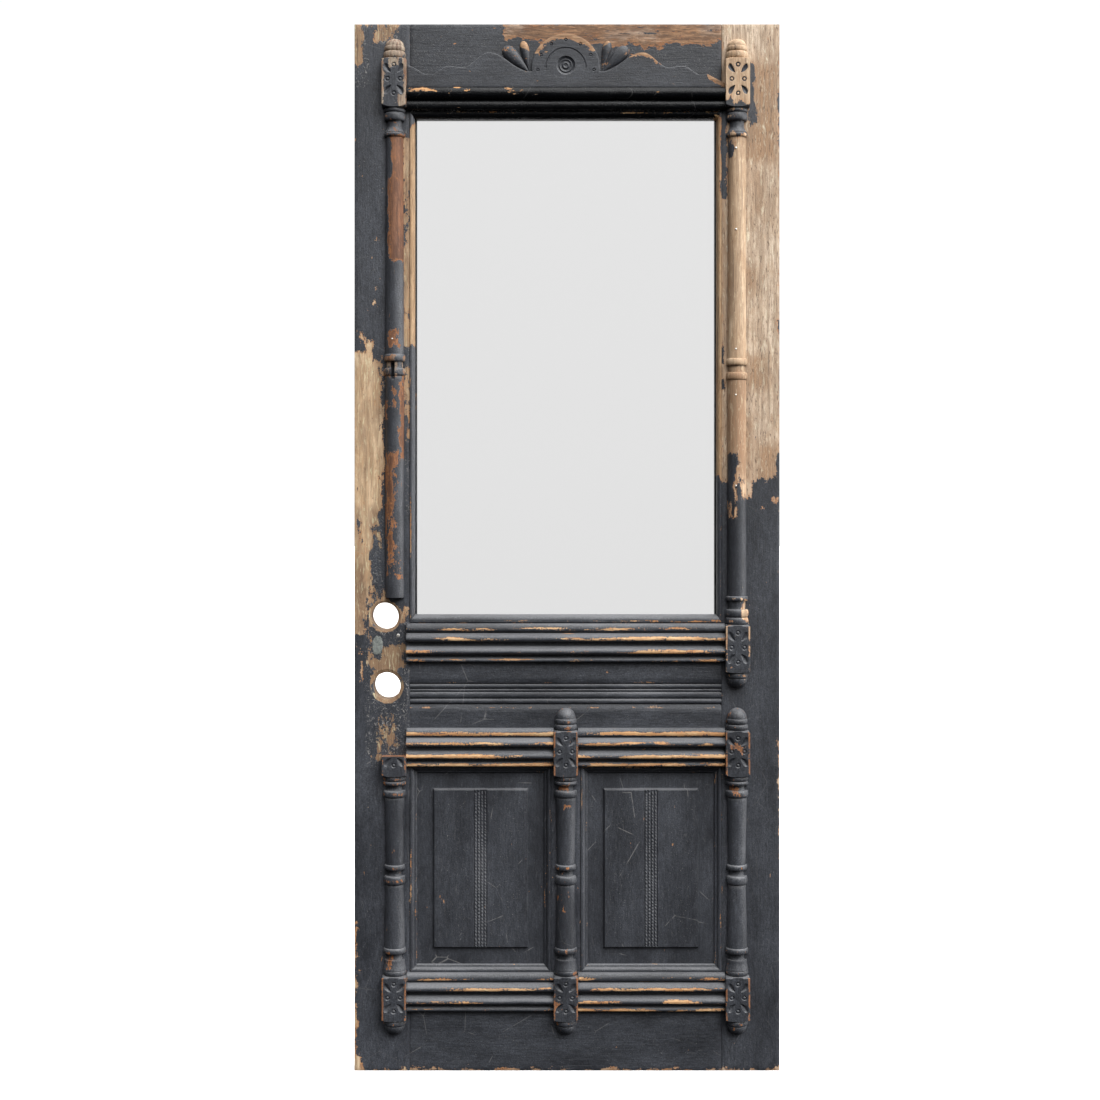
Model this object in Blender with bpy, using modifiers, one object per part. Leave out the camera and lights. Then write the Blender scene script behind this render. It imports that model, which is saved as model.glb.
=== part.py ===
"""A weathered half-glass front door leaf with split turnings, a carved crest and reeded mouldings.

Metres, +Z up. The front faces -Y. The origin lies on the floor of the middle hinge gain, in the
right-hand edge, halfway through the thickness and halfway up.
"""
import math

import bmesh
import bpy
from mathutils import Matrix

# The leaf
WIDTH = 0.845
HEIGHT = 2.080
THICKNESS = 0.045
LOCK_STILE_WIDTH = 0.110
HINGE_STILE_WIDTH = 0.115
BOTTOM_RAIL_HEIGHT = 0.196
PANEL_OPENING_HEIGHT = 0.409
MUNTIN_WIDTH = 0.059
FIT = 0.0003

# Frieze of the lock rail, between two mouldings, with a sunk band of beads
FRIEZE_HEIGHT = 0.131
BAND_DROP = 0.042
BAND_DEPTH = 0.004
BAND_FILLET = 0.002
BAND_CHAMFER = 0.006
BAND_GAP = 0.0012
BAND_BEADS = ((0.0095, 0.0034), (0.0045, 0.0020), (0.0125, 0.0030), (0.0100, 0.0034))

# Planted mouldings: height and projection of each reed from the top, then the quirk under it
PLAIN_REEDS = ((0.0170, 0.0120, 0.0010), (0.0185, 0.0205, 0.0070), (0.0180, 0.0205, 0.0045),
               (0.0105, 0.0120, 0.0))
HEAD_REEDS = ((0.0250, 0.0200, 0.0012), (0.0195, 0.0140, 0.0))
PLAIN_DROOP = 0.6
QUIRK_FLOOR = 0.004
SILL_LIP = 0.0015

# Glass and what holds it
GLASS_THICKNESS = 0.005
GLASS_SETBACK = 0.020
BEAD_WIDTH = 0.0155
SIDE_BEAD_WIDTH = 0.0095
BEAD_PROUD = 0.002
STOP_WIDTH = 0.012

# Panels
GROOVE_DEPTH = 0.010
TONGUE_THICKNESS = 0.010
TONGUE_SETBACK = 0.016
PANEL_MARGIN_SETBACK = 0.011
PANEL_BACK_SETBACK = 0.032
FIELD_RISE = 0.007
FIELD_BEVEL = 0.004
PANEL_BORDER = 0.0445
FIELD_STRIP_WIDTH = 0.025
FIELD_BEADS = 4
PANEL_MOULD_WIDTH = 0.014
PANEL_MOULD_PROUD = 0.0015

# Split turnings, each from a squared blank split down its middle
TURNING_OUTSET = 0.030
BLANK_WIDTH = 0.048
BLOCK_SHOULDER = 0.003
COLUMN_TOP_DROP = 0.030
SILL_BLOCK_DROP = 0.0019
BELT_BLOCK_DROP = 0.0040
BASE_BLOCK_DROP = 0.0046
COLUMN_BREAK_ABOVE_SILL = 0.0516
BALUSTER_BREAK_BELOW_BELT = 0.0543
LEFT_WAIST_RISE = 0.003
RIGHT_WAIST_RISE = -0.005
BALUSTER_WAIST_RISE = -0.004
TURNING_STEPS = 14

# Crest
CREST_THICKNESS = 0.005
CREST_HEADROOM = 0.0202
ARCH_RADIUS = 0.068
ARCH_CENTRE = 0.0388
ARCH_GROOVE_INSET = 0.028
ARCH_DOT_INSET = 0.0123
EYE_RADIUS = 0.019
FAN_CLEARANCE = 0.0036
CREST_BREAK = 0.034

# Lock bores and hinge gains
BORE_DIAMETER = 0.054
UPPER_BORE_OFFSET = 0.0054
LOWER_BORE_OFFSET = 0.0094
UPPER_BORE_ABOVE_SILL = 0.0137
BORE_SPACING = 0.1383
UPPER_RIM_WIDTH = 0.005
LOWER_RIM_WIDTH = 0.007
RIM_DEPTH = 0.0025
HINGE_GAIN_HEIGHT = 0.102
HINGE_GAIN_SETBACK = 0.007
HINGE_GAIN_DEPTH = 0.003
HINGE_TOP_DROP = 0.178
HINGE_FOOT_RISE = 0.254

# Places that follow from the sizes
RIGHT = HINGE_GAIN_DEPTH
LEFT = RIGHT - WIDTH
BOTTOM = -HEIGHT / 2
TOP = HEIGHT / 2
FACE = -THICKNESS / 2
BACK = THICKNESS / 2
OPENING_LEFT = LEFT + LOCK_STILE_WIDTH
OPENING_RIGHT = RIGHT - HINGE_STILE_WIDTH
MIDDLE = (OPENING_LEFT + OPENING_RIGHT) / 2
PLAIN_MOULD_HEIGHT = sum(height + quirk for height, out, quirk in PLAIN_REEDS)
HEAD_MOULD_HEIGHT = sum(height + quirk for height, out, quirk in HEAD_REEDS)
CREST_HEIGHT = ARCH_CENTRE + ARCH_RADIUS
TOP_RAIL_HEIGHT = HEAD_MOULD_HEIGHT + CREST_HEIGHT + CREST_HEADROOM
LOCK_RAIL_HEIGHT = SILL_LIP + 2 * PLAIN_MOULD_HEIGHT + FRIEZE_HEIGHT
PANEL_BOTTOM = BOTTOM + BOTTOM_RAIL_HEIGHT
PANEL_TOP = PANEL_BOTTOM + PANEL_OPENING_HEIGHT
GLASS_BOTTOM = PANEL_TOP + LOCK_RAIL_HEIGHT
GLASS_TOP = TOP - TOP_RAIL_HEIGHT
SILL_TOP = GLASS_BOTTOM - SILL_LIP
FRIEZE_TOP = SILL_TOP - PLAIN_MOULD_HEIGHT
BELT_TOP = FRIEZE_TOP - FRIEZE_HEIGHT
BASE_TOP = PANEL_BOTTOM
TURNING_OFFSET = (OPENING_RIGHT - OPENING_LEFT) / 2 + TURNING_OUTSET
BLANK_HALF = BLANK_WIDTH / 2
MOULD_HALF = TURNING_OFFSET - BLANK_HALF - FIT
PLANTED = FACE - FIT
TONGUE_FRONT = FACE + TONGUE_SETBACK
TONGUE_BACK = TONGUE_FRONT + TONGUE_THICKNESS
FAN_ROOT = ARCH_RADIUS + FAN_CLEARANCE

for old in list(bpy.data.objects):
    bpy.data.objects.remove(old)


def collection(name):
    made = bpy.data.collections.new(name)
    bpy.context.scene.collection.children.link(made)
    return made


DOOR = collection("half_glass_door")
CUTTERS = collection("cutters")
CUTTERS.hide_render = True


def finish(name, colour, roughness, transmission=0.0):
    """A plain Principled material."""
    material = bpy.data.materials.new(name)
    material.use_nodes = True
    shader = material.node_tree.nodes["Principled BSDF"]
    shader.inputs["Base Color"].default_value = (*colour, 1)
    shader.inputs["Roughness"].default_value = roughness
    shader.inputs["Transmission Weight"].default_value = transmission
    return material


PAINT = finish("blue_black_paint", (0.045, 0.050, 0.062), 0.5)
BARE_WOOD = finish("bare_wood", (0.46, 0.33, 0.22), 0.75)
GLASS = finish("window_glass", (0.85, 0.90, 0.88), 0.03, 1.0)


def add(name, shape, material, cutter=False):
    """Turns a bmesh into an object of the door, or into a cutter."""
    bmesh.ops.recalc_face_normals(shape, faces=shape.faces)
    mesh = bpy.data.meshes.new(name)
    shape.to_mesh(mesh)
    shape.free()
    made = bpy.data.objects.new(name, mesh)
    made.data.materials.append(material)
    (CUTTERS if cutter else DOOR).objects.link(made)
    if cutter:
        made.hide_render = True
        made.display_type = "WIRE"
    return made


def block(name, low, high, material=PAINT, cutter=False):
    """A box between two corners."""
    shape = bmesh.new()
    bmesh.ops.create_cube(shape, size=1)
    size = [b - a for a, b in zip(low, high)]
    centre = [(a + b) / 2 for a, b in zip(low, high)]
    place = Matrix.Translation(centre) @ Matrix.Diagonal((*size, 1))
    bmesh.ops.transform(shape, matrix=place, verts=shape.verts)
    return add(name, shape, material, cutter)


def rod(name, radius, low, high, x, z):
    """A cylinder through the thickness, as a cutter."""
    shape = bmesh.new()
    turn = Matrix.Translation((x, (low + high) / 2, z)) @ Matrix.Rotation(math.pi / 2, 4, "X")
    bmesh.ops.create_cone(shape, cap_ends=True, segments=20, radius1=radius, radius2=radius,
                          depth=high - low, matrix=turn)
    return add(name, shape, BARE_WOOD, cutter=True)


def boolean(target, other, operation="DIFFERENCE"):
    step = target.modifiers.new(other.name, "BOOLEAN")
    step.operation = operation
    step.solver = "EXACT"
    step.object = other
    return target


def extruded(name, outline, start, end, slope=0.0):
    """An outline of (y, z) points, run along X; slope mitres the ends, by each point's height."""
    shape = bmesh.new()
    corners = [shape.verts.new((start, y, z)) for y, z in outline]
    cap = shape.faces.new(corners)
    ends = bmesh.ops.extrude_face_region(shape, geom=[cap])["geom"]
    far = [item for item in ends if isinstance(item, bmesh.types.BMVert)]
    bmesh.ops.translate(shape, verts=far, vec=(end - start, 0, 0))
    for vert in shape.verts:
        vert.co.x += (slope if vert in far else -slope) * vert.co.z
    return add(name, shape, PAINT)


def arc(centre, radii, start, end, steps):
    """Points along part of an ellipse, the angles in degrees."""
    points = []
    for step in range(steps + 1):
        angle = math.radians(start + (end - start) * step / steps)
        points.append((centre[0] + radii[0] * math.cos(angle), centre[1] + radii[1] * math.sin(angle)))
    return points


def beaded(z, height, floor, out, steps=6, fullness=0.6, droop=1.0):
    """A reed of a moulding: (out, z) points from its top to its foot; a droop under 1 lowers its crown."""
    points = []
    for step in range(steps + 1):
        angle = math.pi * step / steps
        swell = max(math.sin(angle), 0) ** fullness
        share = ((1 - math.cos(angle)) / 2) ** droop
        points.append((floor + (out - floor) * swell, z - height * share))
    return points


def reeded_outline(reeds, droop):
    """The outline of a planted moulding, as (y, z) from its top back edge."""
    points = [(0, 0)]
    z = 0
    for height, out, quirk in reeds:
        points += beaded(z, height, QUIRK_FLOOR, out, droop=droop)
        z -= height + quirk
    points.append((0, z))
    return [(-out, z) for out, z in points]


# Stiles and rails

def lock_rail_outline():
    """The lock rail's section: its front carries the sunk band of beads, its foot a groove."""
    sunk = FACE + BAND_DEPTH
    z = FRIEZE_TOP - BAND_DROP
    points = [(BACK, GLASS_BOTTOM), (FACE, GLASS_BOTTOM), (FACE, z)]
    z -= BAND_FILLET
    for height, out in BAND_BEADS:
        points += [(sunk - step, drop) for step, drop in beaded(z, height, 0, out, 4, 1)]
        z -= height + BAND_GAP
    points += [(sunk, z), (FACE, z - BAND_CHAMFER), (FACE, PANEL_TOP)]
    return points + groove_points(PANEL_TOP, 1)


def groove_points(edge, side):
    """The panel groove in a rail's edge, from the front face to the back."""
    front, back = TONGUE_FRONT - FIT, TONGUE_BACK + FIT
    floor = edge + side * GROOVE_DEPTH
    return [(front, edge), (front, floor), (back, floor), (back, edge), (BACK, edge)]


def grooved(piece, x, low, high):
    """Cuts the panel groove into an upright's edge at x."""
    groove = block(f"{piece.name}_groove_{x:.3f}", (x - GROOVE_DEPTH, TONGUE_FRONT - FIT, low),
                   (x + GROOVE_DEPTH, TONGUE_BACK + FIT, high), cutter=True)
    boolean(piece, groove)


def frame_of_the_leaf():
    lock = block("lock_stile", (LEFT, FACE, BOTTOM), (OPENING_LEFT, BACK, TOP))
    hinge = block("hinge_stile", (OPENING_RIGHT, FACE, BOTTOM), (RIGHT, BACK, TOP))
    for stile, x in ((lock, OPENING_LEFT), (hinge, OPENING_RIGHT)):
        grooved(stile, x, PANEL_BOTTOM - GROOVE_DEPTH, PANEL_TOP + GROOVE_DEPTH)
    left, right = OPENING_LEFT + FIT, OPENING_RIGHT - FIT
    block("top_rail", (left, FACE, GLASS_TOP), (right, BACK, TOP))
    extruded("lock_rail", lock_rail_outline(), left, right)
    foot = [(BACK, BOTTOM), (FACE, BOTTOM), (FACE, PANEL_BOTTOM)] + groove_points(PANEL_BOTTOM, -1)
    extruded("bottom_rail", foot, left, right)
    half = MUNTIN_WIDTH / 2
    muntin = block("muntin", (MIDDLE - half, FACE, PANEL_BOTTOM + FIT), (MIDDLE + half, BACK, PANEL_TOP - FIT))
    for x in (MIDDLE - half, MIDDLE + half):
        grooved(muntin, x, PANEL_BOTTOM - FIT, PANEL_TOP + FIT)
    return lock, hinge


def lock_bores(stile):
    """Two bores for locks, each with a shallow rim worn round it on the front."""
    middle = LEFT + LOCK_STILE_WIDTH / 2
    upper = SILL_TOP + UPPER_BORE_ABOVE_SILL
    radius = BORE_DIAMETER / 2
    for name, offset, z, rim in (("upper", UPPER_BORE_OFFSET, upper, UPPER_RIM_WIDTH),
                                 ("lower", LOWER_BORE_OFFSET, upper - BORE_SPACING, LOWER_RIM_WIDTH)):
        x = middle + offset
        boolean(stile, rod(name + "_rim", radius + rim, FACE - RIM_DEPTH, FACE + RIM_DEPTH, x, z))
        boolean(stile, rod(name + "_bore", radius, FACE - THICKNESS, BACK + THICKNESS, x, z))


def hinge_gains(stile):
    """Three shallow gains in the hinge edge, open to the back."""
    half = HINGE_GAIN_HEIGHT / 2
    heights = {"top": TOP - HINGE_TOP_DROP - half, "middle": 0, "bottom": BOTTOM + HINGE_FOOT_RISE + half}
    for name, z in heights.items():
        gain = block(name + "_hinge_gain", (RIGHT - HINGE_GAIN_DEPTH, FACE + HINGE_GAIN_SETBACK, z - half),
                     (RIGHT + HINGE_GAIN_DEPTH, BACK + THICKNESS, z + half), cutter=True)
        boolean(stile, gain)


# Panels and their mouldings

def raised_panel(name, left, right):
    """A panel with tongues in the grooves, a raised field and a strip of fine beads down it."""
    low, high = PANEL_BOTTOM, PANEL_TOP
    tongue = GROOVE_DEPTH - FIT
    panel = block(name, (left - tongue, TONGUE_FRONT, low - tongue), (right + tongue, TONGUE_BACK, high + tongue))
    margin = FACE + PANEL_MARGIN_SETBACK
    body = block(name + "_body", (left + FIT, margin, low + FIT),
                 (right - FIT, FACE + PANEL_BACK_SETBACK, high - FIT), cutter=True)
    boolean(panel, body, "UNION")
    middle, level = (left + right) / 2, (low + high) / 2
    field = bmesh.new()
    size = (right - left - 2 * PANEL_BORDER, 2 * FIELD_RISE, high - low - 2 * PANEL_BORDER)
    place = Matrix.Translation((middle, margin, level)) @ Matrix.Diagonal((*size, 1))
    bmesh.ops.create_cube(field, size=1, matrix=place)
    for vert in field.verts:
        if vert.co.y < margin:
            vert.co.x -= math.copysign(FIELD_BEVEL, vert.co.x - middle)
            vert.co.z -= math.copysign(FIELD_BEVEL, vert.co.z - level)
    boolean(panel, add(name + "_field", field, PAINT, cutter=True), "UNION")
    boolean(panel, fine_grooves(name + "_grooves", middle, margin - FIELD_RISE, size[2] + 2 * FIELD_BEVEL))
    return panel


def fine_grooves(name, middle, face, height):
    """V-cuts down the raised field, one on each side of each bead."""
    shape = bmesh.new()
    pitch = FIELD_STRIP_WIDTH / FIELD_BEADS
    for number in range(FIELD_BEADS + 1):
        x = middle + (number - FIELD_BEADS / 2) * pitch
        place = Matrix.Translation((x, face, (PANEL_BOTTOM + PANEL_TOP) / 2))
        bmesh.ops.create_cone(shape, cap_ends=True, segments=4, radius1=pitch * 0.3, radius2=pitch * 0.3,
                              depth=height, matrix=place)
    return add(name, shape, PAINT, cutter=True)


def around(name, outline, corners, rail_width, side_width, depth):
    """Four mitred lengths of one moulding round an opening."""
    left, right, low, high = corners
    across, up = (right - left) / 2, (high - low) / 2
    sides = {
        "top": (0, across, up, rail_width, side_width),
        "right": (90, up, across, side_width, rail_width),
        "bottom": (180, across, up, rail_width, side_width),
        "left": (270, up, across, side_width, rail_width),
    }
    for side, (angle, half, reach, width, next_width) in sides.items():
        piece = extruded(f"{name}_{side}", outline(width), FIT - half, half - FIT, next_width / width)
        piece.data.transform(Matrix.Translation((0, 0, reach)))
        piece.location = ((left + right) / 2, depth, (low + high) / 2)
        piece.rotation_euler = (0, math.radians(angle), 0)


def panel_mould_outline(width):
    """An ogee between the frame's face and the panel's margin, as (y, z) with z in from the edge."""
    high = -(PANEL_MARGIN_SETBACK - FIT + PANEL_MOULD_PROUD)
    points = [(0, -FIT), (high, -FIT), (high, -0.2 * width)]
    points += arc((0.4 * high, -0.2 * width), (0.52 * high, 0.4 * width), 0, -90, 3)
    points += [(0.4 * high, -0.8 * width), (0.2 * high, -width), (0, -width)]
    return points


def glazing_bead_outline(width):
    """A bead that stands from the glass out past the face, rounded towards the glass."""
    high = -(GLASS_SETBACK - FIT + BEAD_PROUD)
    points = [(0, -FIT), (high, -FIT), (high, -0.30 * width)]
    points += arc((0.35 * high, -0.30 * width), (0.65 * high, 0.70 * width), 0, -90, 4)[1:]
    points.append((0, -width))
    return points


def glazing_stop_outline(width):
    depth = THICKNESS - GLASS_SETBACK - GLASS_THICKNESS - FIT
    return [(0, -FIT), (depth, -FIT), (depth, -0.7 * width), (0.7 * depth, -width), (0, -width)]


def glass_and_beads():
    left, right, low, high = OPENING_LEFT, OPENING_RIGHT, GLASS_BOTTOM, GLASS_TOP
    corners = (left, right, low, high)
    front = FACE + GLASS_SETBACK
    back = front + GLASS_THICKNESS
    block("glass_pane", (left + FIT, front, low + FIT), (right - FIT, back, high - FIT), GLASS)
    around("glazing_bead", glazing_bead_outline, corners, BEAD_WIDTH, SIDE_BEAD_WIDTH, front - FIT)
    around("glazing_stop", glazing_stop_outline, corners, STOP_WIDTH, STOP_WIDTH, back + FIT)


def panels_and_mouldings():
    half = MUNTIN_WIDTH / 2
    depth = FACE + PANEL_MARGIN_SETBACK - FIT
    width = PANEL_MOULD_WIDTH
    for side, left, right in (("left", OPENING_LEFT, MIDDLE - half), ("right", MIDDLE + half, OPENING_RIGHT)):
        raised_panel("panel_" + side, left, right)
        corners = (left, right, PANEL_BOTTOM, PANEL_TOP)
        around("panel_mould_" + side, panel_mould_outline, corners, width, width, depth)


# Planted horizontal mouldings

def planted(name, reeds, top, start, end, droop=PLAIN_DROOP):
    piece = extruded(name, reeded_outline(reeds, droop), start, end)
    piece.location = (0, PLANTED, top)


def planted_mouldings():
    left, right = MIDDLE - MOULD_HALF, MIDDLE + MOULD_HALF
    inner = BLANK_HALF + FIT
    planted("head_moulding", HEAD_REEDS, GLASS_TOP + HEAD_MOULD_HEIGHT, left, right, droop=1.0)
    planted("sill_moulding", PLAIN_REEDS, SILL_TOP, left, right)
    for name, top in (("belt_moulding", BELT_TOP), ("base_moulding", BASE_TOP)):
        planted(name + "_left", PLAIN_REEDS, top, left, MIDDLE - inner)
        planted(name + "_right", PLAIN_REEDS, top, MIDDLE + inner, right)


# Split turnings: each member gives (radius, z) points, its radii as shares of the blank's half width

def dome(z, length, share):
    return arc((0, z - length), (share * BLANK_HALF, length), 72, 0, 3)


def foot_dome(z, length, share):
    return arc((0, z), (share * BLANK_HALF, length), 0, -72, 3)


def ring(z, length, share):
    return beaded(z, length, 0.8 * share * BLANK_HALF, share * BLANK_HALF, 3)


def taper(z, length, share, foot_share):
    return [(share * BLANK_HALF, z), (foot_share * BLANK_HALF, z - length)]


def bell(z, length, share, foot_share):
    """A hollow flare from the first radius to the second."""
    radius, spread = share * BLANK_HALF, (foot_share - share) * BLANK_HALF
    return [(radius + spread * (1 - math.cos(math.pi / 2 * step / 3)), z - length * step / 3)
            for step in range(4)]


def square_block(z, length, tongue):
    """The square stretch, turned down at its ends so that the square ends in tongues."""
    full, neck, foot = 1.5 * BLANK_HALF, 0.93 * BLANK_HALF, z - length + tongue
    points = [(0.9 * BLANK_HALF, z), (full, z - BLOCK_SHOULDER), (full, foot)]
    return points + arc((neck, foot), (full - neck, tongue), -30, -90, 2)


def turned(name, x, top, members, low=None, high=None):
    """Half of a turning, on the face: a full turning cut by the squared blank that it came from."""
    points = [(0, top)]
    z = top
    for shape, length, *shares in members:
        points += [point for point in shape(z, length, *shares) if point != points[-1]]
        z -= length
    points.append((0, z))
    mesh = bpy.data.meshes.new(name)
    edges = [(n, n + 1) for n in range(len(points) - 1)]
    mesh.from_pydata([(radius, 0, height) for radius, height in points], edges, [])
    made = bpy.data.objects.new(name, mesh)
    DOOR.objects.link(made)
    made.data.materials.append(BARE_WOOD)
    made.location = (x, PLANTED, 0)
    turn_on_its_axis(made, TURNING_STEPS)
    blank = block(name + "_blank", (x - BLANK_HALF, PLANTED - BLANK_HALF, low or z - BLANK_HALF),
                  (x + BLANK_HALF, PLANTED, high or top + BLANK_HALF), cutter=True)
    return boolean(made, blank, "INTERSECT")


def turn_on_its_axis(piece, steps):
    screw = piece.modifiers.new("turning", "SCREW")
    screw.axis = "Z"
    screw.steps = screw.render_steps = steps
    screw.use_merge_vertices = True
    screw.merge_threshold = 0.00001


def carve_block(turning, x, z, half_height):
    """Four leaf gouges set as an X and four small pits round a block's centre."""
    shape = bmesh.new()
    wide, high = BLANK_HALF, half_height
    front = Matrix.Translation((x, PLANTED - BLANK_HALF - 0.0002, z))
    for across in (-1, 1):
        for up in (-1, 1):
            place = (front @ Matrix.Translation((0.49 * across * wide, 0, 0.52 * up * high))
                     @ Matrix.Rotation(across * up * math.radians(33), 4, "Y")
                     @ Matrix.Diagonal((0.15 * wide, 0.125 * wide, 0.24 * high, 1)))
            bmesh.ops.create_uvsphere(shape, u_segments=4, v_segments=4, radius=1, matrix=place)
    for across, up in ((0, 0.68 * high), (0, -0.68 * high), (0.52 * wide, 0), (-0.52 * wide, 0)):
        place = front @ Matrix.Translation((across, 0, up)) @ Matrix.Rotation(math.pi / 2, 4, "X")
        bmesh.ops.create_cone(shape, cap_ends=True, segments=6, radius1=0.08 * wide, radius2=0.19 * wide,
                              depth=0.125 * wide, matrix=place)
    boolean(turning, add(f"{turning.name}_carving_{z:.3f}", shape, BARE_WOOD, True))


COLUMN_HEAD = (
    (dome, 0.0145, 0.78), (ring, 0.0115, 0.86), (ring, 0.0145, 0.94), (square_block, 0.098, 0.011),
    (ring, 0.009, 0.90), (ring, 0.0165, 0.89), (taper, 0.0095, 0.60, 0.60), (bell, 0.0135, 0.60, 0.84),
    (ring, 0.009, 0.89),
)
COLUMN_WAIST = ((ring, 0.0150, 0.89), (taper, 0.0130, 0.67, 0.67), (ring, 0.0158, 0.89))
COLUMN_FOOT = (
    (ring, 0.010, 0.93), (taper, 0.016, 0.71, 0.69), (ring, 0.0160, 0.97), (ring, 0.0145, 0.97),
    (square_block, 0.0945, 0.005), (ring, 0.013, 0.90), (foot_dome, 0.0195, 0.86),
)
BALUSTER_HEAD = (
    (dome, 0.021, 0.82), (ring, 0.0115, 0.90), (ring, 0.0115, 0.93), (square_block, 0.091, 0.009),
    (ring, 0.010, 0.93), (ring, 0.0083, 0.95), (taper, 0.0099, 0.62, 0.62), (ring, 0.0145, 0.96),
)
BALUSTER_WAIST = ((ring, 0.0113, 0.87), (taper, 0.0110, 0.57, 0.57), (ring, 0.0175, 0.90))
BALUSTER_FOOT = (
    (ring, 0.0123, 0.95), (taper, 0.0115, 0.60, 0.60), (bell, 0.0199, 0.82, 0.96), (ring, 0.0113, 0.96),
    (square_block, 0.088, 0.006), (ring, 0.0123, 0.93), (foot_dome, 0.0185, 0.83),
)
UPPER_SHAFT = (0.715, 0.775)
LOWER_SHAFT = (0.775, 0.775)
BALUSTER_UPPER_SHAFT = (0.83, 0.715)
BALUSTER_LOWER_SHAFT = (0.74, 0.85)


def length_of(members):
    return sum(member[1] for member in members)


def before_block(members):
    """The length of the members above the square block."""
    names = [member[0] for member in members]
    return length_of(members[:names.index(square_block)])


def block_place(start, members):
    """A block's centre and half height, without its tongue."""
    length, tongue = next(member[1:] for member in members if member[0] is square_block)
    half = (length - tongue) / 2
    return start - before_block(members) - half, half


def assembled(top, head, shafts, waist, foot, foot_block_top, waist_rise):
    """A turning's whole list of members, with the shafts filling what the others leave."""
    foot_start = foot_block_top + before_block(foot)
    head_end = top - length_of(head)
    level = (head_end + foot_start) / 2 + waist_rise
    upper = head_end - level - length_of(waist) / 2
    lower = level - length_of(waist) / 2 - foot_start
    members = head + ((taper, upper, *shafts[0]),) + waist + ((taper, lower, *shafts[1]),) + foot
    return members, (block_place(top, head), block_place(foot_start, foot))


def column(side, x, waist_rise, low=None):
    top = TOP - COLUMN_TOP_DROP
    members, places = assembled(top, COLUMN_HEAD, (UPPER_SHAFT, LOWER_SHAFT), COLUMN_WAIST, COLUMN_FOOT,
                                SILL_TOP - SILL_BLOCK_DROP, waist_rise)
    made = turned("column_" + side, x, top, members, low=low)
    for z, half in places:
        if not low or z > low:
            carve_block(made, x, z, half)


def baluster(side, x, high=None):
    top = BELT_TOP - BELT_BLOCK_DROP + before_block(BALUSTER_HEAD)
    members, places = assembled(top, BALUSTER_HEAD, (BALUSTER_UPPER_SHAFT, BALUSTER_LOWER_SHAFT), BALUSTER_WAIST,
                                BALUSTER_FOOT, BASE_TOP - BASE_BLOCK_DROP, BALUSTER_WAIST_RISE)
    made = turned("baluster_" + side, x, top, members, high=high)
    for z, half in places:
        if not high or z + half < high:
            carve_block(made, x, z, half)


def split_turnings():
    left, right = MIDDLE - TURNING_OFFSET, MIDDLE + TURNING_OFFSET
    column("left", left, LEFT_WAIST_RISE, low=SILL_TOP + COLUMN_BREAK_ABOVE_SILL)
    column("right", right, RIGHT_WAIST_RISE)
    baluster("left", left, high=BELT_TOP - BALUSTER_BREAK_BELOW_BELT)
    baluster("middle", MIDDLE)
    baluster("right", right)


# The crest

# The wave's turning points: share of the run from the fan's root to the board's end, and height
WAVE = ((0.0, 0.0318), (0.333, 0.0696), (0.546, 0.0398), (0.660, 0.0425), (0.814, 0.0249), (1.0, 0.0435))


def wave_height(share):
    """How high the board's edge stands along the run outside the fans."""
    for (start, low), (end, high) in zip(WAVE, WAVE[1:]):
        if share <= end:
            return low + (high - low) * (1 - math.cos(math.pi * (share - start) / (end - start))) / 2
    return WAVE[-1][1]


def crest_outline():
    """The board's edge from the lower left round over the arch to the broken lower right."""
    run = MOULD_HALF - FAN_ROOT
    whole = [(FAN_ROOT + run * n / 22, wave_height(n / 22)) for n in range(23)]
    arch = arc((0, ARCH_CENTRE), (ARCH_RADIUS, ARCH_RADIUS), 186, -6, 14)
    broken_at = MOULD_HALF - CREST_BREAK
    right = [point for point in whole if point[0] < broken_at]
    right += [(broken_at, wave_height((broken_at - FAN_ROOT) / run)), (MOULD_HALF, 0.0095)]
    left = [(-distance, height) for distance, height in reversed(whole)]
    return [(-MOULD_HALF, 0)] + left + arch + right + [(MOULD_HALF, 0)]


def petal(name, length, width, height, x, z, lean):
    """A convex petal of a fan, from its thin root to its round tip."""
    shape = bmesh.new()
    bmesh.ops.create_uvsphere(shape, u_segments=8, v_segments=6, radius=1)
    for vert in shape.verts:
        taper = 0.55 + 0.45 * vert.co.z
        vert.co.x *= taper
        vert.co.y *= taper
    place = (Matrix.Translation((x, 0, z)) @ Matrix.Rotation(lean, 4, "Y")
             @ Matrix.Diagonal((width, height, length / 2, 1)) @ Matrix.Translation((0, 0, 1)))
    bmesh.ops.transform(shape, matrix=place, verts=shape.verts)
    return add(name, shape, PAINT, cutter=True)


def turned_cut(name, points, x, z, steps):
    """A cutter turned about an axis through the thickness, from (radius, height over the board)."""
    mesh = bpy.data.meshes.new(name)
    edges = [(n, n + 1) for n in range(len(points) - 1)]
    mesh.from_pydata([(radius, 0, height) for radius, height in points], edges, [])
    made = bpy.data.objects.new(name, mesh)
    CUTTERS.objects.link(made)
    made.hide_render = True
    made.display_type = "WIRE"
    turn_on_its_axis(made, steps)
    made.location = (x, -CREST_THICKNESS, z)
    made.rotation_euler = (math.pi / 2, 0, 0)
    return made


def arch_groove():
    """The half-round V-cut that follows the arch."""
    shape = bmesh.new()
    radius, front = ARCH_RADIUS - ARCH_GROOVE_INSET, -CREST_THICKNESS
    section = ((0.0015, -0.0006), (0, 0.0018), (-0.0015, -0.0006))
    corners = [shape.verts.new((radius + out, front + depth, 0)) for out, depth in section]
    face = shape.faces.new(corners)
    bmesh.ops.spin(shape, geom=[face], cent=(0, 0, 0), axis=(0, -1, 0), angle=math.pi, steps=14,
                   use_merge=False, use_duplicate=False)
    made = add("arch_groove", shape, PAINT, cutter=True)
    made.location = (0, 0, ARCH_CENTRE)
    return made


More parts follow.
